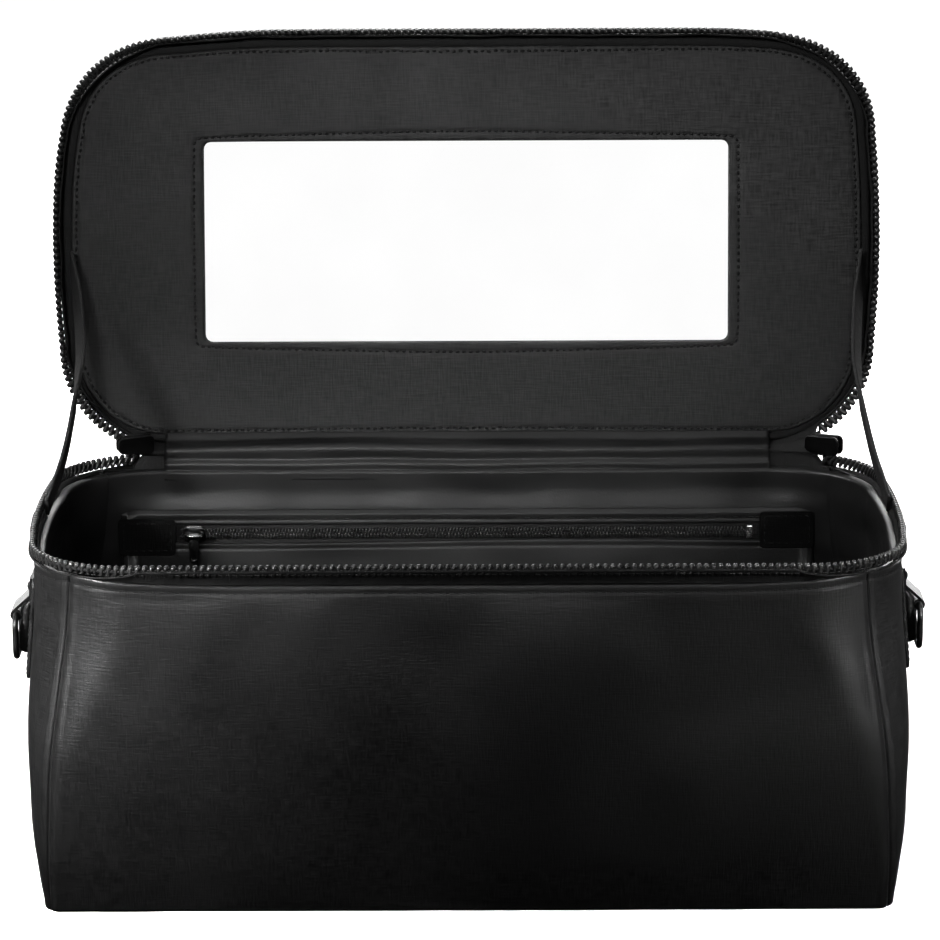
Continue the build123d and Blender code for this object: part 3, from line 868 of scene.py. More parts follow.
# the swell fades over these distances from the corner seams, the top and the bottom
SWELL_FROM_SEAM = 0.032
SWELL_FROM_TOP = 0.024
SWELL_FROM_BASE = 0.028
WAVE_IN = 0.0010          # how far the fabric's own waves go in from the board's face
WAVE_OUT = 0.0022         # and out
CLIMB_FROM = 0.085        # the front and back hems begin to climb this far from the middle
CLIMB_ENDS = 0.045        # and the end walls' hems climb this near their seams
CLIMB_DEEP = 0.03         # the climb draws on this much of the wall below the hem


def wall_panel(wall):
    """One outer wall: fabric eased over its board, seamed at the corners and hemmed along the top."""
    long_wall = wall in ("front", "back")
    width = 0.31 if long_wall else 0.19
    heights = np.concatenate([np.arange(0, 0.004, 0.0005), np.linspace(0.004, 0.120, 38),
                              np.arange(0.1205, WALL_TOP + 1e-6, 0.0005)])
    across = spaced(width, 0.003, 0.0005, 0.006) / width
    points, outward, along, edge = wall_surface(wall, heights, across)

    coarse_z = np.linspace(0, WALL_TOP, 27)
    coarse_u = np.linspace(0, 1, 61 if long_wall else 37)
    base, base_outward = wall_surface(wall, coarse_z, coarse_u)[:2]
    pinned = edges_of(base)
    seed = WALL_SEED[wall]
    started = base + base_outward * (0.0004 * uneven(base, 0.08, seed) * ~pinned)[..., None]
    eased = relaxed(started, pinned, 0.6, 0.004, WAVE_OUT) + (started - base)
    eased = smoothed(resampled(eased, coarse_z, coarse_u, heights, across), 12)
    eased = np.clip((eased * outward).sum(-1), -WAVE_IN, WAVE_OUT)
    to_top, to_base = (WALL_TOP - heights)[:, None], heights[:, None]
    eased = eased * risen(to_top, 0.012)
    if not long_wall:
        eased = eased * 0.2 - 0.0004 * risen(edge, 0.010)

    swell = WALL_SWELL[wall] * risen(edge, SWELL_FROM_SEAM) * risen(to_top, SWELL_FROM_TOP)
    swell = swell * risen(to_base, SWELL_FROM_BASE)
    inward = turned_in(edge, SEAM_ROLL) + turned_in(to_top, HEM_ROLL) + turned_in(to_base, BASE_ROLL)
    inward = inward + 0.00018 * ridge(to_top, HEM_STITCH, 0.0006) - 0.0003 * ridge(edge, 0.0030, 0.0014)
    grid = points + outward * (eased + swell - inward)[..., None]
    climb = np.clip((np.abs(points[..., 0]) - CLIMB_FROM) / (SEAM_TOP_X - CLIMB_FROM), 0, 1) ** 2
    if not long_wall:
        climb = np.clip(1 - edge / CLIMB_ENDS, 0, 1) ** 2
    grid[..., 2] += HEM_RISE * climb * np.clip(1 - to_top / CLIMB_DEEP, 0, 1) ** 2

    uv = np.stack([along + seed, np.broadcast_to(heights[:, None], along.shape)], axis=-1)
    piece(f"{wall}_panel_cloth", surface(grid, uv), OUTER,
          replaces=(f"{wall}_panel",), skin=CLOTH_THICK)
    row = int(np.argmin(np.abs(to_top - HEM_STITCH)))
    inside = edge[row] > 0.002
    piece(f"{wall}_hem_stitches", stitches(grid[row][inside], outward[row][inside]), THREAD)


for wall_name in ("front", "back", "left", "right"):
    wall_panel(wall_name)


def seam_cords():
    """A dark cord sunk in each corner seam, where the folded edges of two walls meet."""
    heights = np.linspace(0.0012, WALL_TOP - 0.001, 60)
    ends = [wall_surface(wall, heights, np.array([0.0, 1.0]), SEAM_CORD_DEPTH)[0]
            for wall in ("front", "back")]
    cords = [tube(pair[:, k], SEAM_CORD, 8, reference=(0, 1, 0)) for pair in ends for k in (0, 1)]
    piece("corner_seam_cords", joined(cords), THREAD)


seam_cords()


def base_cloth():
    """The underside, flat on the floor, its edge turned up into the walls' bottom seam."""
    loop = Loop(body_level(0.0))
    s = np.linspace(0, loop.length, 400, endpoint=False)
    rings = [(0.0004, 0.0016), (0.0010, 0.0008), (0.0020, 0.0002), (0.0035, 0.0), (0.010, 0.0),
             (0.030, 0.0), (0.055, 0.0), (0.078, 0.0)]
    grid = np.array([np.column_stack([loop.point(s) - loop.outward(s) * depth, np.full(len(s), z)])
                     for depth, z in rings])
    core = np.clip(grid[-1], (-0.09, 0, 0), (0.09, 0, 1))
    grid = np.concatenate([grid[:-2], (grid[2:3] * 0.4 + core * 0.6), core[None]])[::-1]
    piece("base_cloth", surface(grid, plan_uv(grid), wrap_columns=True), OUTER,
          replaces=("base_panel",), weld=True)


base_cloth()


# =============================================== zips ===============================================
SLIDER_LEFT, SLIDER_RIGHT = (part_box(f"main_slider_{side}") for side in ("left", "right"))
ZIP_SPAN = (-rim_distance(-(SLIDER_LEFT[0].x + SLIDER_LEFT[1].x) / 2),
            rim_distance((SLIDER_RIGHT[0].x + SLIDER_RIGHT[1].x) / 2))


def at_corners(s):
    """1 on the rim's corners and 0 on its straights, changing smoothly."""
    outward = rim_outward(s)
    return np.clip(np.abs(outward[..., 0] * outward[..., 1]) * 2, 0, 1) ** 0.8


def past_sliders(s):
    """0 between the sliders and 1 where each half of the zip runs on behind them to its end."""
    beyond = np.maximum(ZIP_SPAN[0] - s, s - ZIP_SPAN[1])
    return np.clip(beyond / 0.004, 0, 1)


def zip_half(name, anchor, lean, far):
    """Half of the main zip: its tape, its coil and the stitches that hold the coil down. The tape
    runs from a far height to an anchor and on to the coil, which leans out round the corners. Past
    the sliders it folds to the hinge line."""
    on_lid = name == "lid"
    sign, body = (-1, "lid") if on_lid else (1, "case")
    s = np.arange(ZIP_SPAN[0] - ZIP_TAIL, ZIP_SPAN[1] + ZIP_TAIL, 0.0025)

    def placed(shape):
        return shape.open() if on_lid else shape

    def coil_middle(t):
        """Depth, height and lean of the coil's middle line."""
        corner = at_corners(t)
        angle = lean * corner
        depth = COIL_OUT + COIL_TUCK * corner * on_lid
        height = -sign * (0.00015 + COIL_HEIGHT / 2 * np.cos(angle) + COIL_DEPTH / 2 * np.sin(angle))
        return depth, height, angle

    depth, height, angle = coil_middle(s)
    tail = past_sliders(s)
    corners = at_corners(s)
    # the lid's tape ends inside the coil's lower half, and at its root where the coil leans over;
    # the body's covers the coil's lower half from outside
    reach = 0.0002 - 0.0026 * corners if on_lid else 0.0003 - 0.0030 * corners ** 0.5
    behind = -sign * (COIL_DEPTH / 2 + 0.0003)
    edge_depth = (depth - reach * np.sin(angle) + behind * np.cos(angle)) * (1 - tail)
    edge_height = (height + sign * (reach * np.cos(angle) + behind * np.sin(angle))) * (1 - tail)
    stops = np.linspace(0, 1, 8)[:, None]
    root_depth = TAPE_DEPTH + 0.0020 * corners * on_lid
    run_depth = root_depth + (edge_depth - root_depth) * stops ** 1.6
    run_height = anchor + (edge_height - anchor) * stops
    grid = np.concatenate([rim_point(s, TAPE_DEPTH, far)[None], rim_point(s[None], run_depth, run_height)])
    grid += rim_outward(s) * (0.0002 * uneven(grid, 0.02, 11))[..., None]
    tape = placed(surface(grid[::-1] if on_lid else grid))
    made = piece(f"{name}_zip_tape_woven", tape, TAPE, body, replaces=(f"{name}_zip_tape",))
    solid = made.modifiers.new("skin", "SOLIDIFY")
    solid.thickness, solid.offset = TAPE_THICK, 0.0

    def centre(t):
        depth, height, _ = coil_middle(t)
        return rim_point(t, depth, height)

    def up(t):
        angle = coil_middle(t)[2][:, None]
        return everywhere(UP, rim_outward(t)) * (sign * np.cos(angle)) + rim_outward(t) * np.sin(angle)

    def out(t):
        angle = coil_middle(t)[2][:, None]
        return rim_outward(t) * np.cos(angle) - everywhere(UP, rim_outward(t)) * (sign * np.sin(angle))

    wound = coil(ZIP_SPAN, centre, out, up, square=0.85 * sign)
    t = np.arange(ZIP_SPAN[0], ZIP_SPAN[1], 0.002)
    filler = tube(centre(t), COIL_CORD, 6)
    piece(f"{name}_zip_coil_wound", placed(wound), NYLON, body,
          replaces=(f"{name}_zip_coil",))
    piece(f"{name}_coil_filler", placed(filler), TAPE, body)
    t = np.arange(ZIP_SPAN[0], ZIP_SPAN[1], 0.001)
    sewn = centre(t) + out(t) * (COIL_DEPTH / 2 - 0.0001) - up(t) * 0.0013
    sewn = stitches(sewn, out(t), pitch=COIL_PITCH, length=0.0021)
    piece(f"{name}_coil_stitches", placed(sewn), THREAD, body)


zip_half("body", anchor=-0.0080, lean=radians(16), far=-0.017)
zip_half("lid", anchor=0.0080, lean=radians(68), far=0.0150)


# =============================================== lid ================================================
CORNER_IN = 0.0022        # how far the lid's cover, band and board are drawn in at its corners
COVER_CROWN = 0.0030
COVER_ROLL = 0.0011
BAND_STITCH = 0.0026      # stitch line above the band's lower edge
EDGE_STITCH = 0.0022      # stitch line in from the inner panel's edge
SIGHT_STITCH = 0.0040     # and out from its window


def lid_band():
    """The lid's side: a strip of the outer fabric hemmed over the zip tape."""
    s = np.linspace(0, RIM.length, 460, endpoint=False)
    heights = np.concatenate([np.arange(BAND_LOW, 0.0125, 0.0005), np.arange(0.013, BAND_HIGH, 0.001),
                              [BAND_HIGH]])
    from_low, from_high = heights - BAND_LOW, BAND_HIGH + 0.0006 - heights
    depth = turned_in(from_low, HEM_ROLL) + turned_in(from_high, 0.0014)
    depth += 0.0003 * ridge(from_low, BAND_STITCH, 0.0006)
    base = rim_point(s[None], depth[:, None] + CORNER_IN * at_corners(s), heights[:, None])
    bulge = 0.0003 * uneven(base, 0.05, 21)
    grid = base + rim_outward(s)[None] * bulge[..., None]
    uv = np.stack(np.meshgrid(np.append(s, RIM.length), heights), axis=-1)
    piece("lid_band_cloth", surface(grid, uv, wrap_columns=True).open(), OUTER, "lid",
          replaces=("lid_side_band",), skin=CLOTH_THICK)
    row = int(np.argmin(np.abs(from_low - BAND_STITCH)))
    sewn = stitches(closed(grid[row]), closed(rim_outward(s)))
    piece("lid_band_stitches", sewn.open(), THREAD, "lid")


lid_band()


def rings_between(outer, inner, near_outer, middle, near_inner):
    """Rings of points from one loop in to another: at set distances near each, and evenly between."""
    span = np.linalg.norm(inner - outer, axis=1)
    first = [distance / span for distance in near_outer]
    last = [1 - distance / span for distance in near_inner]
    between = [first[-1] + (last[0] - first[-1]) * k / (middle + 1) for k in range(1, middle + 1)]
    share = np.array(first + between + last)
    return outer[None] + (inner - outer)[None] * share[..., None]


def lid_cover():
    """The lid's outer face: fabric crowned over foam, sewn to the band round its edge."""
    s = np.linspace(0, RIM.length, 360, endpoint=False)
    edge = RIM.point(s) - RIM.outward(s) * (0.0004 + CORNER_IN * at_corners(s))[:, None]
    core = np.clip(edge, (-0.083, 0), (0.083, 0))
    near = np.array([0, 0.0004, 0.0008, 0.0012, 0.0018, 0.0025, 0.0035, 0.0050, 0.0075])
    flat = rings_between(edge, core, near, 16, [0.0])
    span = np.linalg.norm(core - edge, axis=1)
    to_edge = np.linalg.norm(flat - edge[None], axis=-1)
    crown = COVER_CROWN * (1 - (1 - np.clip(to_edge / span, 0, 1)) ** 2.4)
    height = BAND_HIGH + COVER_ROLL - turned_in(to_edge, COVER_ROLL) + crown
    grid = np.concatenate([flat, (ZIP_Z + height)[..., None]], axis=-1)
    pinned = np.zeros(grid.shape[:2], bool)
    pinned[:len(near)] = True
    eased = smoothed(relaxed(grid, pinned, 0.5, 0.003, 0.0016, wrap_columns=True), 4, True)
    # the innermost ring is one line, met from the front and from the back
    eased[-1] = (eased[-1] + eased[-1, (len(s) // 2 - np.arange(len(s))) % len(s)]) / 2
    grid = grid + eased * np.clip((to_edge - 0.004) / 0.010, 0, 1)[..., None]
    grid[..., 2] += 0.00025 * uneven(grid, 0.07, 31) * np.clip(to_edge / 0.01, 0, 1)
    shape = surface(grid, plan_uv(grid), wrap_columns=True).open()
    made = piece("lid_cover_cloth", shape, OUTER, "lid", replaces=("lid_outer_panel",),
                 weld=True)


lid_cover()


def lid_stiffener():
    """The board under the lid's cover and the foam under the board, which the glass sits in."""
    s = np.linspace(0, RIM.length, 240, endpoint=False)

    def border(depth):
        return RIM.point(s) - RIM.outward(s) * (depth + CORNER_IN * at_corners(s))[:, None]

    board_low = BAND_HIGH - BOARD_THICK
    board = plate(border(0.0028), BOARD_THICK, 0.0004)
    board = board.moved(Matrix.Translation((0, 0, ZIP_Z + board_low)))
    piece("lid_board_stiff", board.open(), BOARD, "lid", replaces=("lid_board",))
    low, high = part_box("mirror_backing")
    seat = Loop(outline((high.x - low.x) / 2 + 0.0004, SEAT_HALF, 0.0042, 0.0))
    seat = seat.point(s / RIM.length * seat.length) + (0, WINDOW_SHIFT)
    foam = plate(border(0.0030), board_low - PANEL_BACK, 0.0004, hole=seat)
    foam = foam.moved(Matrix.Translation((0, 0, ZIP_Z + PANEL_BACK)))
    piece("lid_foam_pad", foam.open(), FOAM, "lid", replaces=("lid_foam",))


lid_stiffener()


def lid_inner():
    """The padded panel inside the lid, with a turned window for the mirror."""
    s = np.linspace(0, RIM.length, 480, endpoint=False)
    edge = RIM.point(s) - RIM.outward(s) * PANEL_INSET
    window = Loop(outline(WINDOW[0] / 2, WINDOW[1] / 2, WINDOW_CORNER, 0.0))
    sight = window.point(s / RIM.length * window.length) + (0, WINDOW_SHIFT)
    near_edge = np.concatenate([np.arange(0, 0.006, 0.0004), [0.007, 0.009, 0.012]])
    near_sight = np.concatenate([[0.012, 0.009, 0.0075], np.arange(0.0064, -1e-6, -0.0004)])
    flat = rings_between(edge, sight, near_edge, 8, near_sight)
    to_edge = np.linalg.norm(flat - edge[None], axis=-1)
    to_sight = np.linalg.norm(flat - sight[None], axis=-1)
    puff = 0.0007 * risen(to_edge, 0.006) * risen(to_sight, 0.007)
    grid = np.concatenate([flat, np.full(flat.shape[:2] + (1,), ZIP_Z + PANEL_LOW)], axis=-1)
    pinned = (to_edge < 0.0021) | (to_sight < 0.0045)
    eased = relaxed(grid[:, ::-1], pinned[:, ::-1], 0.7, 0.004, 0.0016, wrap_columns=True)[:, ::-1]
    grid = grid + smoothed(eased, 3, True)
    roll = turned_in(to_edge, 0.0013) + turned_in(to_sight, 0.0012)
    channel = 0.0003 * (ridge(to_edge, EDGE_STITCH, 0.0010) + ridge(to_sight, SIGHT_STITCH, 0.0010))
    grid[..., 2] += roll + channel - puff
    shape = surface(grid[::-1], plan_uv(grid)[::-1], wrap_columns=True).open()
    made = piece("lid_inner_cloth", shape, LID_CLOTH, "lid",
                 replaces=("lid_inner_panel",), skin=0.0009)
    for name, distance, at in (("edge", to_edge, EDGE_STITCH), ("window", to_sight, SIGHT_STITCH)):
        ring = np.argmin(np.abs(distance - at), axis=0)
        line = closed(grid[ring, np.arange(len(s))])
        sewn = stitches(line, -everywhere(UP, line), pitch=0.0027, length=0.0016, width=0.0011, sink=0.0)
        piece(f"lid_{name}_stitches", sewn.open(), THREAD, "lid")


lid_inner()


def lid_facing():
    """A strip of tape fabric that closes the gap between the zip and the inner panel."""
    s = np.linspace(0, RIM.length, 460, endpoint=False)
    path = ((0.0024, 0.0150), (0.0024, 0.0090), (0.0028, 0.0078), (0.0036, 0.0074), (0.0050, 0.0076),
            (0.0080, 0.0082))
    grid = np.array([rim_point(s, depth, height) for depth, height in path])
    grid[..., 2] += 0.0002 * uneven(grid, 0.02, 41)
    piece("lid_facing_tape", surface(grid[::-1], wrap_columns=True).open(), TAPE, "lid",
          skin=0.0005)


lid_facing()


def mirror():
    """The mirror glass, its edges eased."""
    low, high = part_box("mirror_glass")
    border = rounded_rectangle(high.x - low.x, GLASS_DEPTH, 0.004, 8)
    glass = plate(border, GLASS_THICK, 0.0004)
    glass = glass.moved(Matrix.Translation((0, WINDOW_SHIFT, ZIP_Z + GLASS_LOW))).open()
    piece("mirror_pane", glass, SILVER, "lid", replaces=("mirror_glass",))


mirror()


# ============================================ lining and floor ======================================
LINING_SEED = {"front": 51, "back": 52, "left": 53, "right": 54}
LINING_WAVE = 0.0030      # how far the loose lining may stand in from its board
LEDGE_TOP = 0.1215        # below this the back lining steps in, over the pocket's seam
LEDGE_HIGH = 0.011
LEDGE_DEEP = 0.0022


def wall_lining(wall):
    """One wall of the lining, a little loose over its board, its top edge turned out over the tape."""
    long_wall = wall in ("front", "back")
    width = 0.30 if long_wall else 0.18
    heights = np.concatenate([np.linspace(FLOOR_TOP, 0.110, 36), np.linspace(0.112, 0.1265, 14),
                              [0.1272, 0.1277, 0.1281, 0.1284, 0.1285]])
    across = spaced(width, 0.003, 0.001, 0.006) / width * 1.012 - 0.006
    points, outward, along, edge = wall_surface(wall, heights, across, LINING_DEPTH)
    coarse_z = np.linspace(heights[0], heights[-1], 25)
    coarse_u = np.linspace(0, 1, 61 if long_wall else 37)
    base, base_outward = wall_surface(wall, coarse_z, coarse_u, LINING_DEPTH)[:2]
    pinned = edges_of(base)
    seed = LINING_SEED[wall]
    started = base - base_outward * (0.0006 * (1 + uneven(base, 0.06, seed)) * ~pinned)[..., None]
    eased = relaxed(started[:, ::-1], pinned, 0.5, 0.006, 0.0020, bending=0.4)[:, ::-1] + started - base
    eased = smoothed(resampled(eased, coarse_z, coarse_u, heights, across), 20)
    inward = np.clip(-(eased * outward).sum(-1), 0, LINING_WAVE)
    if wall == "back":
        below = np.clip((LEDGE_TOP - heights[:, None]) / LEDGE_HIGH, 0, 1)
        inward = inward * 0.5 + LEDGE_DEEP * below ** 2 * (3 - 2 * below) * risen(edge, 0.012)
    over = np.interp(heights, (0.1272, 0.1277, 0.1281, 0.1285), (0, 0.0003, 0.0010, 0.0026))[:, None]
    grid = points + outward * (over - inward)[..., None]
    uv = np.stack([along + seed, np.broadcast_to(heights[:, None], along.shape)], axis=-1)
    shape = surface(grid[:, ::-1], uv[:, ::-1])
    piece(f"{wall}_lining_coat", shape, LINING, replaces=(f"{wall}_lining",), skin=LINING_THICK)


for wall_name in ("front", "back", "left", "right"):
    wall_lining(wall_name)


def floor_coat():
    """The lining's floor, dished a little between its edges."""
    loop = Loop(body_level(FLOOR_TOP))
    s = np.linspace(0, loop.length, 300, endpoint=False)
    rim = loop.point(s) - loop.outward(s) * LINING_DEPTH
    core = np.clip(rim, (-0.085, 0), (0.085, 0))
    flat = rings_between(rim, core, [0, 0.001, 0.002, 0.004, 0.008], 14, [0.0])
    to_edge = np.linalg.norm(flat - rim[None], axis=-1)
    height = FLOOR_TOP + 0.0012 * ridge(to_edge, 0.0, 0.003) + 0.0002
    grid = np.concatenate([flat, height[..., None]], axis=-1)
    grid[..., 2] += 0.0003 * (1 + uneven(grid, 0.05, 61))
    piece("floor_lining_coat", surface(grid, plan_uv(grid), wrap_columns=True), LINING,
          replaces=("floor_lining",), skin=LINING_THICK, weld=True)


floor_coat()


# =========================================== hinge and straps =======================================
# the fold's section, with the lid open: y and z from the hinge line
FOLD_PATH = np.array([(-0.0047, -0.0112), (-0.0045, -0.0092), (-0.0042, -0.0083), (-0.0036, -0.0078),
                      (-0.0036, -0.0066), (-0.0035, -0.0052), (-0.0030, -0.0044), (-0.0021, -0.0040),
                      (-0.0020, -0.0028), (-0.0020, -0.0008), (-0.0016, 0.0010), (0.0006, 0.0020),
                      (0.0034, 0.0026), (0.0052, 0.0034), (0.0064, 0.0052), (0.0080, 0.0064)])


def hinge_strip():
    """The lining's fold from the back wall up over the hinge line and under the lid's inner panel."""
    at = lengths_along(FOLD_PATH)
    fine = np.linspace(0, at[-1], 48)
    section = np.stack([np.interp(fine, at, FOLD_PATH[:, k]) for k in (0, 1)], axis=-1)
    section = softened(section, 2)
    low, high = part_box("hinge_strip")
    grid = upright(np.linspace(low.x, high.x, 160), HINGE_Y + section[:, :1], ZIP_Z + section[:, 1])
    wave = uneven(grid * (1, 3, 3), 0.07, 71) * np.sin(pi * fine / fine[-1])[:, None]
    grid[..., 2] += 0.0006 * wave
    made = piece("hinge_fold", surface(grid), HINGE_COAT, body=None, replaces=("hinge_strip",),
                 skin=0.0006)
    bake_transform(made)


hinge_strip()


GUSSET_X = 0.1215         # how far from the case's middle each gusset starts
GUSSET_IN = 0.0012        # its edges' depth, and their distance from the zip line


def hinge_gusset(side):
    """Crumpled tape fabric that joins the two halves of the zip between a slider and the hinge."""
    sign = -1 if side == "left" else 1
    end = ZIP_SPAN[1] if sign > 0 else RIM.length + ZIP_SPAN[0]
    start = RIM.length / 2 + sign * (rim_distance(GUSSET_X) - RIM.length / 2)
    s = np.linspace(start, end, 40)
    lower = rim_point(s, GUSSET_IN, -GUSSET_IN)
    upper = opened(rim_point(s, GUSSET_IN, GUSSET_IN))
    share = np.linspace(0, 1, 14)[:, None, None]
    grid = lower + (upper - lower) * share
    gap = np.linalg.norm(upper - lower, axis=-1)
    crumple = np.sin(pi * share[..., 0]) * (0.25 * gap + 0.0004) * (1 + 0.5 * uneven(grid, 0.012, 72))
    grid[..., 1] -= crumple
    made = piece(f"hinge_gusset_{side}", surface(grid if sign < 0 else grid[::-1]), TAPE,
                 body=None, skin=0.0006)
    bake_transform(made)


for gusset_side in ("left", "right"):
    hinge_gusset(gusset_side)


# each strap's distance from the case's middle, at these shares of its length from its foot
STRAP_AT = (0, 0.1, 0.2, 0.3, 0.5, 0.65, 0.8, 0.9, 1)
STRAP_ASIDE = {
    "left": (0.1626, 0.1601, 0.1579, 0.1563, 0.1541, 0.1529, 0.1544, 0.1562, 0.1584),
    "right": (0.1628, 0.1612, 0.1589, 0.1574, 0.1545, 0.1542, 0.1556, 0.1569, 0.1584),
}
STRAP_WIDTH = 0.0088
STRAP_THICK = 0.0015
STRAP_SAG = 0.006
STRAP_TWIST = radians(24)


def stay_strap(side):
    """A webbing strap from the lid's side down to the body's lining, hanging a little slack."""
    low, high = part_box(f"stay_strap_{side}")
    sign = -1 if side == "left" else 1
    foot, head = np.array((low.y + 0.010, low.z + 0.0115)), np.array((high.y - 0.003, high.z - 0.004))
    t = np.linspace(0, 1, 90)
    run = foot + (head - foot) * t[:, None]
    aside = softened(np.interp(t, STRAP_AT, STRAP_ASIDE[side]), 16)
    drop = STRAP_SAG * np.sin(pi * t)
    line = np.column_stack([sign * aside, run[:, 0], run[:, 1] - drop])
    ahead = unit(np.gradient(line, axis=0))
    twist = STRAP_TWIST * np.interp(t, (0, 0.45, 0.6, 0.85, 1), (0, 0.1, 1, 1, 0.2)) * sign
    flat = unit(np.cross(ahead, everywhere((1.0, 0, 0), line)))
    face = np.cross(flat, ahead)
    wide = flat * np.cos(twist)[:, None] + face * np.sin(twist)[:, None]
    thick = np.cross(ahead, wide)
    section = rounded_rectangle(STRAP_WIDTH, STRAP_THICK, 0.0006, 4)
    grid = line[:, None] + wide[:, None] * section[None, :, :1] + thick[:, None] * section[None, :, 1:]
    made = piece(f"stay_strap_{side}_webbing", surface(grid, wrap_columns=True, caps=True), WEBBING,
                 body=None, replaces=(f"stay_strap_{side}",))
    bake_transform(made)
    rows = []
    for shift in (-0.0028, 0.0028):
        for end in (slice(-12, None), slice(0, 12)):
            row = line[end] + wide[end] * shift + thick[end] * (sign * 0.0008)
            rows.append(stitches(row, thick[end] * sign, pitch=0.0018, length=0.0014))
    thread = piece(f"stay_strap_{side}_stitches", joined(rows), THREAD, body=None)
    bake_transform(thread)


for strap_side in ("left", "right"):
    stay_strap(strap_side)


# ============================================ zip sliders ===========================================
MAIN_BAR_OUT = 0.0052     # how far a main slider's bar stands out from the middle of the chain
MAIN_BAR_DROP = 0.0018    # and how far below the middle it lies
POCKET_BAR_OUT = 0.0048   # how far the pocket pull's axis stands out from the pocket's chain


def circle(radius, count, centre=(0, 0)):
    turn = np.arange(count) * 2 * pi / count
    return np.column_stack([centre[0] + radius * np.cos(turn), centre[1] + radius * np.sin(turn)])


def seen_from(border, centre, count):
    """A convex border's points, evenly spaced in angle as seen from a centre."""
    dense = np.vstack([border[i] + (np.roll(border, -1, axis=0)[i] - border[i]) * np.linspace(
        0, 1, 12, endpoint=False)[:, None] for i in range(len(border))])
    angle = np.mod(np.arctan2(dense[:, 1] - centre[1], dense[:, 0] - centre[0]), 2 * pi)
    order = np.argsort(angle)
    turn = np.arange(count) * 2 * pi / count
    return np.column_stack([np.interp(turn, angle[order], dense[order, k], period=2 * pi)
                            for k in (0, 1)])


def shield(length, wide, narrow, corner):
    """A slider plate's outline: a rounded rectangle that narrows to one end."""
    border = rounded_rectangle(length, wide, corner, 7)
    share = np.clip(border[:, 0] / length + 0.5, 0, 1)
    border[:, 1] *= 1 - (1 - narrow / wide) * share ** 2
    return border


def slider_body(length, wide, narrow, plate_at, thickness, bar_out, bar_drop, bar, half_bar):
    """Two plates held apart by a post, flanges along them, and the bridge that carries the pull.
    X runs along the chain, Y across it and Z out through the front plate."""
    border = shield(length, wide, narrow, min(wide, length) * 0.28)
    parts = []
    for face in (1, -1):
        low = plate_at if face > 0 else -plate_at - thickness
        parts.append(plate(border, thickness, thickness * 0.35).moved(Matrix.Translation((0, 0, low))))
        for edge in (1, -1):
            x = np.linspace(-length * 0.36, length * 0.36, 9)
            y = edge * (wide / 2 - thickness * 0.55) * (1 - 0.16 * (x / length + 0.36) ** 2)
            rail = np.column_stack([x, y, np.full(9, face * (plate_at - thickness * 0.1))])
            parts.append(tube(rail, thickness * 0.5, 8))
    post = plate(circle(length * 0.11, 20), 2 * plate_at, thickness * 0.1)
    parts.append(post.moved(Matrix.Translation((-length * 0.3, 0, -plate_at))))
    foot = plate_at + thickness * 0.7
    arch = np.array([(-half_bar - bar, foot), (-half_bar - bar * 0.9, bar_out - bar * 1.2),
                     (-half_bar - bar * 0.2, bar_out - bar * 0.2), (-half_bar + bar, bar_out),
                     (0, bar_out), (half_bar - bar, bar_out), (half_bar + bar * 0.2, bar_out - bar * 0.2),
                     (half_bar + bar * 0.9, bar_out - bar * 1.2), (half_bar + bar, foot)])
    line = np.column_stack([arch[:, 0], np.full(len(arch), -bar_drop), arch[:, 1]])
    return joined(parts + [tube(line, bar, 10, reference=(0, 1, 0))])


def pull_tab(length, width, eye, bore, thickness):
    """A pull hanging down from its rolled eye. X runs along its bar, Y up and Z through it."""
    roll = plate(circle(eye, 24), width, 0.0003, hole=circle(bore, 24))
    made = roll.moved(Matrix.Translation((-width / 2, 0, 0)) @ Matrix.Rotation(pi / 2, 4, "Y"))
    reach = length - eye * 0.7
    border = rounded_rectangle(width, reach, width * 0.32, 8)
    border[:, 0] *= 1 - 0.22 * np.clip(0.15 - border[:, 1] / reach, 0, 0.4) / 0.4
    border[:, 0] *= 1 + 0.30 * np.clip(-0.25 - border[:, 1] / reach, 0, 0.25) / 0.25
    middle = (0, -eye * 0.7 - reach / 2)
    hole_at = (0.0, -reach * 0.30)
    hole = circle(width * 0.2, 40, hole_at)
    tab = plate(seen_from(border, hole_at, 40), thickness, thickness * 0.3, hole=hole)
    return made + tab.moved(Matrix.Translation((*middle, -thickness / 2)))


def main_slider(side):
    """One of the two sliders parked by the hinge, and the pull that hangs from its bar."""
    joint = JOINTS[f"{side}_pull_hinge"]
    along = np.array(joint["axis"], float)
    outward = np.array((-along[1], along[0], 0))
    bar = np.array(joint["pos_m"], float)
    origin = bar - outward * MAIN_BAR_OUT + (0, 0, MAIN_BAR_DROP)
    place = axes(origin, -along, (0, 0, 1), outward)
    body = slider_body(length=0.0148, wide=0.0078, narrow=0.0064, plate_at=0.0016, thickness=0.0012,
                       bar_out=MAIN_BAR_OUT, bar_drop=MAIN_BAR_DROP, bar=0.0008, half_bar=0.0036)
    piece(f"main_slider_{side}_body", body.moved(place), SLIDER,
          replaces=(f"main_slider_{side}",))
    hang = axes(bar, -along, (0, 0, 1), outward)
    tab = pull_tab(length=0.0270, width=0.0064, eye=0.0019, bore=0.0011, thickness=0.0015)
    piece(f"main_pull_{side}_tab", tab.moved(hang), SLIDER, f"{side}_pull",
          replaces=(f"main_pull_{side}",))


for slider_side in ("left", "right"):
    main_slider(slider_side)


# =============================================== pocket =============================================
POCKET_SKIN = 0.0007
FINE_PITCH = 0.0013       # of the pocket's coil
PATCH_DROP = {"left": Vector((-0.0010, 0, -0.0026)), "right": Vector((0, 0, -0.0004))}
POCKET_STITCH = 0.0024    # stitch line below the panel's top edge
PANEL_LOW_CORNER, PANEL_HIGH_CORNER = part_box("pocket_panel")
POCKET_X = spaced(PANEL_HIGH_CORNER.x - PANEL_LOW_CORNER.x, 0.004, 0.0006, 0.003) + PANEL_LOW_CORNER.x


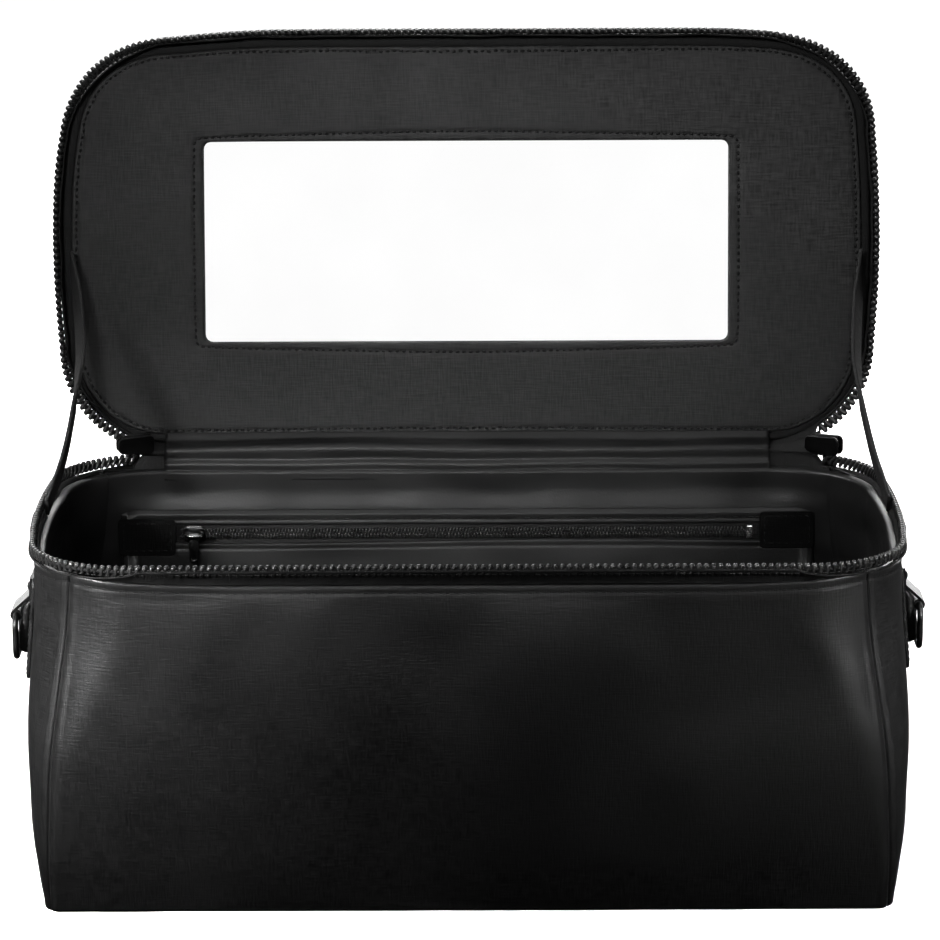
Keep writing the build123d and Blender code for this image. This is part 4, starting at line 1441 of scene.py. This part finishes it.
def pocket_panel():
    """The pocket's face: loose lining, folded and sewn along its top edge."""
    low, high = PANEL_LOW_CORNER, PANEL_HIGH_CORNER
    z = np.concatenate([np.linspace(low.z, high.z - 0.006, 24), np.arange(high.z - 0.0056, high.z, 0.0004),
                        [high.z]])
    grid = upright(POCKET_X, low.y, z)
    near_side = np.minimum(grid[..., 0] - low.x, high.x - grid[..., 0])
    from_top = high.z - grid[..., 2]
    hold = np.clip(near_side / 0.02, 0, 1) * np.clip((grid[..., 2] - low.z) / 0.02, 0, 1)
    grid[..., 1] -= 0.0010 * hold * (1 + uneven(grid, 0.09, 81)) * np.clip(from_top / 0.01, 0.3, 1)
    grid[..., 1] += turned_in(from_top, 0.0008) + turned_in(near_side, 0.0014)
    grid[..., 1] += 0.0003 * ridge(from_top, POCKET_STITCH, 0.0006)
    grid[..., 2] += 0.0007 * np.sin(grid[..., 0] * 26 + 0.4) * np.clip(1 - from_top / 0.02, 0, 1)
    piece("pocket_panel_coat", surface(grid), LINING, replaces=("pocket_panel",),
          skin=POCKET_SKIN)
    line = grid[np.argmin(np.abs(high.z - z - POCKET_STITCH))]
    piece("pocket_panel_stitches", stitches(line, everywhere(FORWARD, line)), THREAD)


def pocket_welt():
    """The folded strip above the zip, leaning back to the wall at its top."""
    low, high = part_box("pocket_welt")
    z = np.linspace(low.z, high.z + 0.0006, 16)
    grid = upright(POCKET_X, low.y, z)
    from_low = (z - low.z)[:, None]
    grid[..., 1] += turned_in(from_low, 0.0008) - 0.0002 * uneven(grid, 0.04, 82)
    grid[..., 1] += 0.0004 * ridge(from_low, 0.0022, 0.0006)
    grid[..., 1] += np.clip(from_low - 0.0045, 0, 1) * 1.2
    piece("pocket_welt_coat", surface(grid), LINING, replaces=("pocket_welt",),
          skin=POCKET_SKIN)
    line = grid[6] - (0, 0.0003, 0)
    piece("pocket_welt_stitches", stitches(line, everywhere(FORWARD, line)), THREAD)


def pocket_zip():
    """The pocket's tape, the two halves of its fine coil meshed, and the stop at its end."""
    low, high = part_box("pocket_zip_tape")
    grid = upright(np.linspace(low.x, high.x, 90), low.y + 0.0002, np.linspace(low.z, high.z, 10))
    grid[..., 1] += 0.0001 * uneven(grid, 0.01, 83)
    piece("pocket_tape_woven", surface(grid), TAPE, replaces=("pocket_zip_tape",), skin=0.0005)

    low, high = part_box("pocket_zip_coil")
    middle = (0, (low.y + high.y) / 2, (low.z + high.z) / 2)

    def half_coil(half):
        def centre(t):
            return t[:, None] * (1, 0, 0) + middle + (0, 0, half * 0.0009)

        def up(t):
            return everywhere((0.0, 0.0, 1.0 * half), centre(t))

        def out(t):
            return everywhere(FORWARD, centre(t))

        span = (low.x + (FINE_PITCH / 2 if half > 0 else 0), high.x)
        return coil(span, centre, out, up, height=0.0026, depth=0.0017, wire=0.00033,
                    pitch=FINE_PITCH, steps=10, sides=5)

    piece("pocket_coil_wound", half_coil(1) + half_coil(-1), FINE_NYLON,
          replaces=("pocket_zip_coil",))

    low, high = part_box("pocket_zip_stop")
    piece("pocket_stop_metal", box_plate(low, high, 0.0005), BRIGHT,
          replaces=("pocket_zip_stop",))


def pocket_ends():
    """The cloth patch sewn over each end of the zip: matte black fabric, its colour darkened further as
    painted shade for the shadow at the pocket's ends.
    """
    for side in ("left", "right"):
        low, high = (corner + PATCH_DROP[side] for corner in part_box(f"pocket_end_{side}"))
        piece(f"pocket_end_{side}_patch", box_plate(low, high, 0.0003), PATCH_CLOTH_WITH_PAINTED_SHADE,
              replaces=(f"pocket_end_{side}",))
        border = rounded_rectangle(high.x - low.x - 0.004, high.z - low.z - 0.004, 0.001, 3)
        ring = np.column_stack([border[:, 0] + (low.x + high.x) / 2, np.full(len(border), low.y),
                                border[:, 1] + (low.z + high.z) / 2])
        ring = closed(ring)
        piece(f"pocket_end_{side}_stitches", stitches(ring, everywhere(FORWARD, ring)), THREAD)


def pocket_slider():
    """The pocket's slider, and its pull hanging down."""
    bar = np.array(JOINTS["pocket_pull_hinge"]["pos_m"], float)
    place = axes(bar + (0, POCKET_BAR_OUT, 0), (1, 0, 0), UP, FORWARD)
    body = slider_body(length=0.0092, wide=0.0064, narrow=0.0050, plate_at=0.0010, thickness=0.0009,
                       bar_out=0.0046, bar_drop=0.0, bar=0.00065, half_bar=0.0026)
    piece("pocket_slider_body", body.moved(place), DULL, "pocket_zip_slider",
          replaces=("pocket_slider",))
    hang = axes(bar, (1, 0, 0), UP, FORWARD)
    tab = pull_tab(length=0.0110, width=0.0042, eye=0.0016, bore=0.0011, thickness=0.0010)
    piece("pocket_pull_tab", tab.moved(hang), DULL, "pocket_zip_pull",
          replaces=("pocket_pull",))


pocket_panel()
pocket_welt()
pocket_zip()
pocket_ends()
pocket_slider()


# ============================================= strap rings ==========================================
END_LEAN = np.arctan2(LEVELS[2, 1] - RIM_X, LEVELS[3, 0] - LEVELS[2, 0])
RING_STAND_OFF = 0.0072
TAB_SIZE = (0.022, 0.041)
TAB_THICK = 0.0018
TAB_DROP = 0.0045
# the folded leather that keeps the ring off the wall: heights from the knuckle, and thickness there
PAD_WIDTH = 0.0190
PAD_THICK = 0.0043
PAD_SECTION = ((0.0068, 0.0006), (0.0060, 0.0014), (0.0045, 0.0026), (0.0025, 0.0032), (0, 0.0032),
               (-0.0030, 0.0038), (-0.0045, PAD_THICK), (-0.0120, PAD_THICK), (-0.0134, 0.0036),
               (-0.0142, 0.0016))
RIVET_ACROSS = 0.0045
RIVET_RISE = 0.0115
RIVET_DOME = ((0.0018, 0.0), (0.0018, 0.0002), (0.0016, 0.00055), (0.0011, 0.0009), (0.0004, 0.00105))


def ring_tab(side):
    """A leather tab sewn to the end wall under the ring's bracket, a folded pad behind the ring,
    and two domed rivets."""
    sign = -1 if side == "left" else 1
    outward = np.array((sign * cos(END_LEAN), 0, sin(END_LEAN)))
    rise = np.array((-sign * sin(END_LEAN), 0, cos(END_LEAN)))
    origin = np.array(JOINTS[f"{side}_ring_hinge"]["pos_m"]) - outward * RING_STAND_OFF
    place = axes(origin, (0, sign, 0), rise, outward)
    border = rounded_rectangle(*TAB_SIZE, 0.004, 8)
    hide = plate(border, TAB_THICK, 0.0007).moved(Matrix.Translation((0, -TAB_DROP, 0))).moved(place)
    piece(f"ring_tab_{side}_hide", hide, HIDE, replaces=(f"ring_tab_{side}",))
    rings = []
    for rise_at, thick in PAD_SECTION:
        ring = rounded_rectangle(PAD_WIDTH - 0.4 * (PAD_THICK - thick), thick, 0.45 * thick)
        rings.append(np.column_stack([ring[:, 0], np.full(len(ring), rise_at),
                                      TAB_THICK - 0.0002 + thick / 2 - ring[:, 1]]))
    pad = surface(np.array(rings[::-1]), wrap_columns=True, caps=True)
    piece(f"ring_pad_{side}_hide", pad.moved(place), HIDE)
    ring = shrunk(border, 0.0020)
    ring = closed(np.column_stack([ring[:, 0], ring[:, 1] - TAB_DROP, np.full(len(ring), TAB_THICK)]))
    sewn = stitches(ring, everywhere(UP, ring), pitch=0.0026, length=0.0019, sink=0.0)
    piece(f"ring_tab_{side}_stitches", sewn.moved(place), THREAD)
    turn = np.linspace(0, 2 * pi, 20, endpoint=False)
    domes = [surface(np.array([[(across + r * cos(a), RIVET_RISE + r * sin(a), TAB_THICK + 0.0010 + h)
                                for a in turn] for r, h in RIVET_DOME]), wrap_columns=True, caps=True)
             for across in (-RIVET_ACROSS, RIVET_ACROSS)]
    piece(f"ring_rivets_{side}_domed", joined(domes).moved(place), GUNMETAL,
          replaces=(f"tab_rivets_{side}",))


for ring_side in ("left", "right"):
    ring_tab(ring_side)


# ================================ CAD nodes that keep their shape ====================================
KEPT = {
    BOARD: ["front_board", "back_board", "left_board", "right_board", "base_board", "mirror_backing"],
    GUNMETAL: ["side_ring_left", "side_ring_right", "ring_bracket_left", "ring_bracket_right"],
}
for finish_kept, names in KEPT.items():
    for node_name in names:
        node = frame["nodes"][node_name]
        node.data.materials.clear()
        node.data.materials.append(finish_kept)
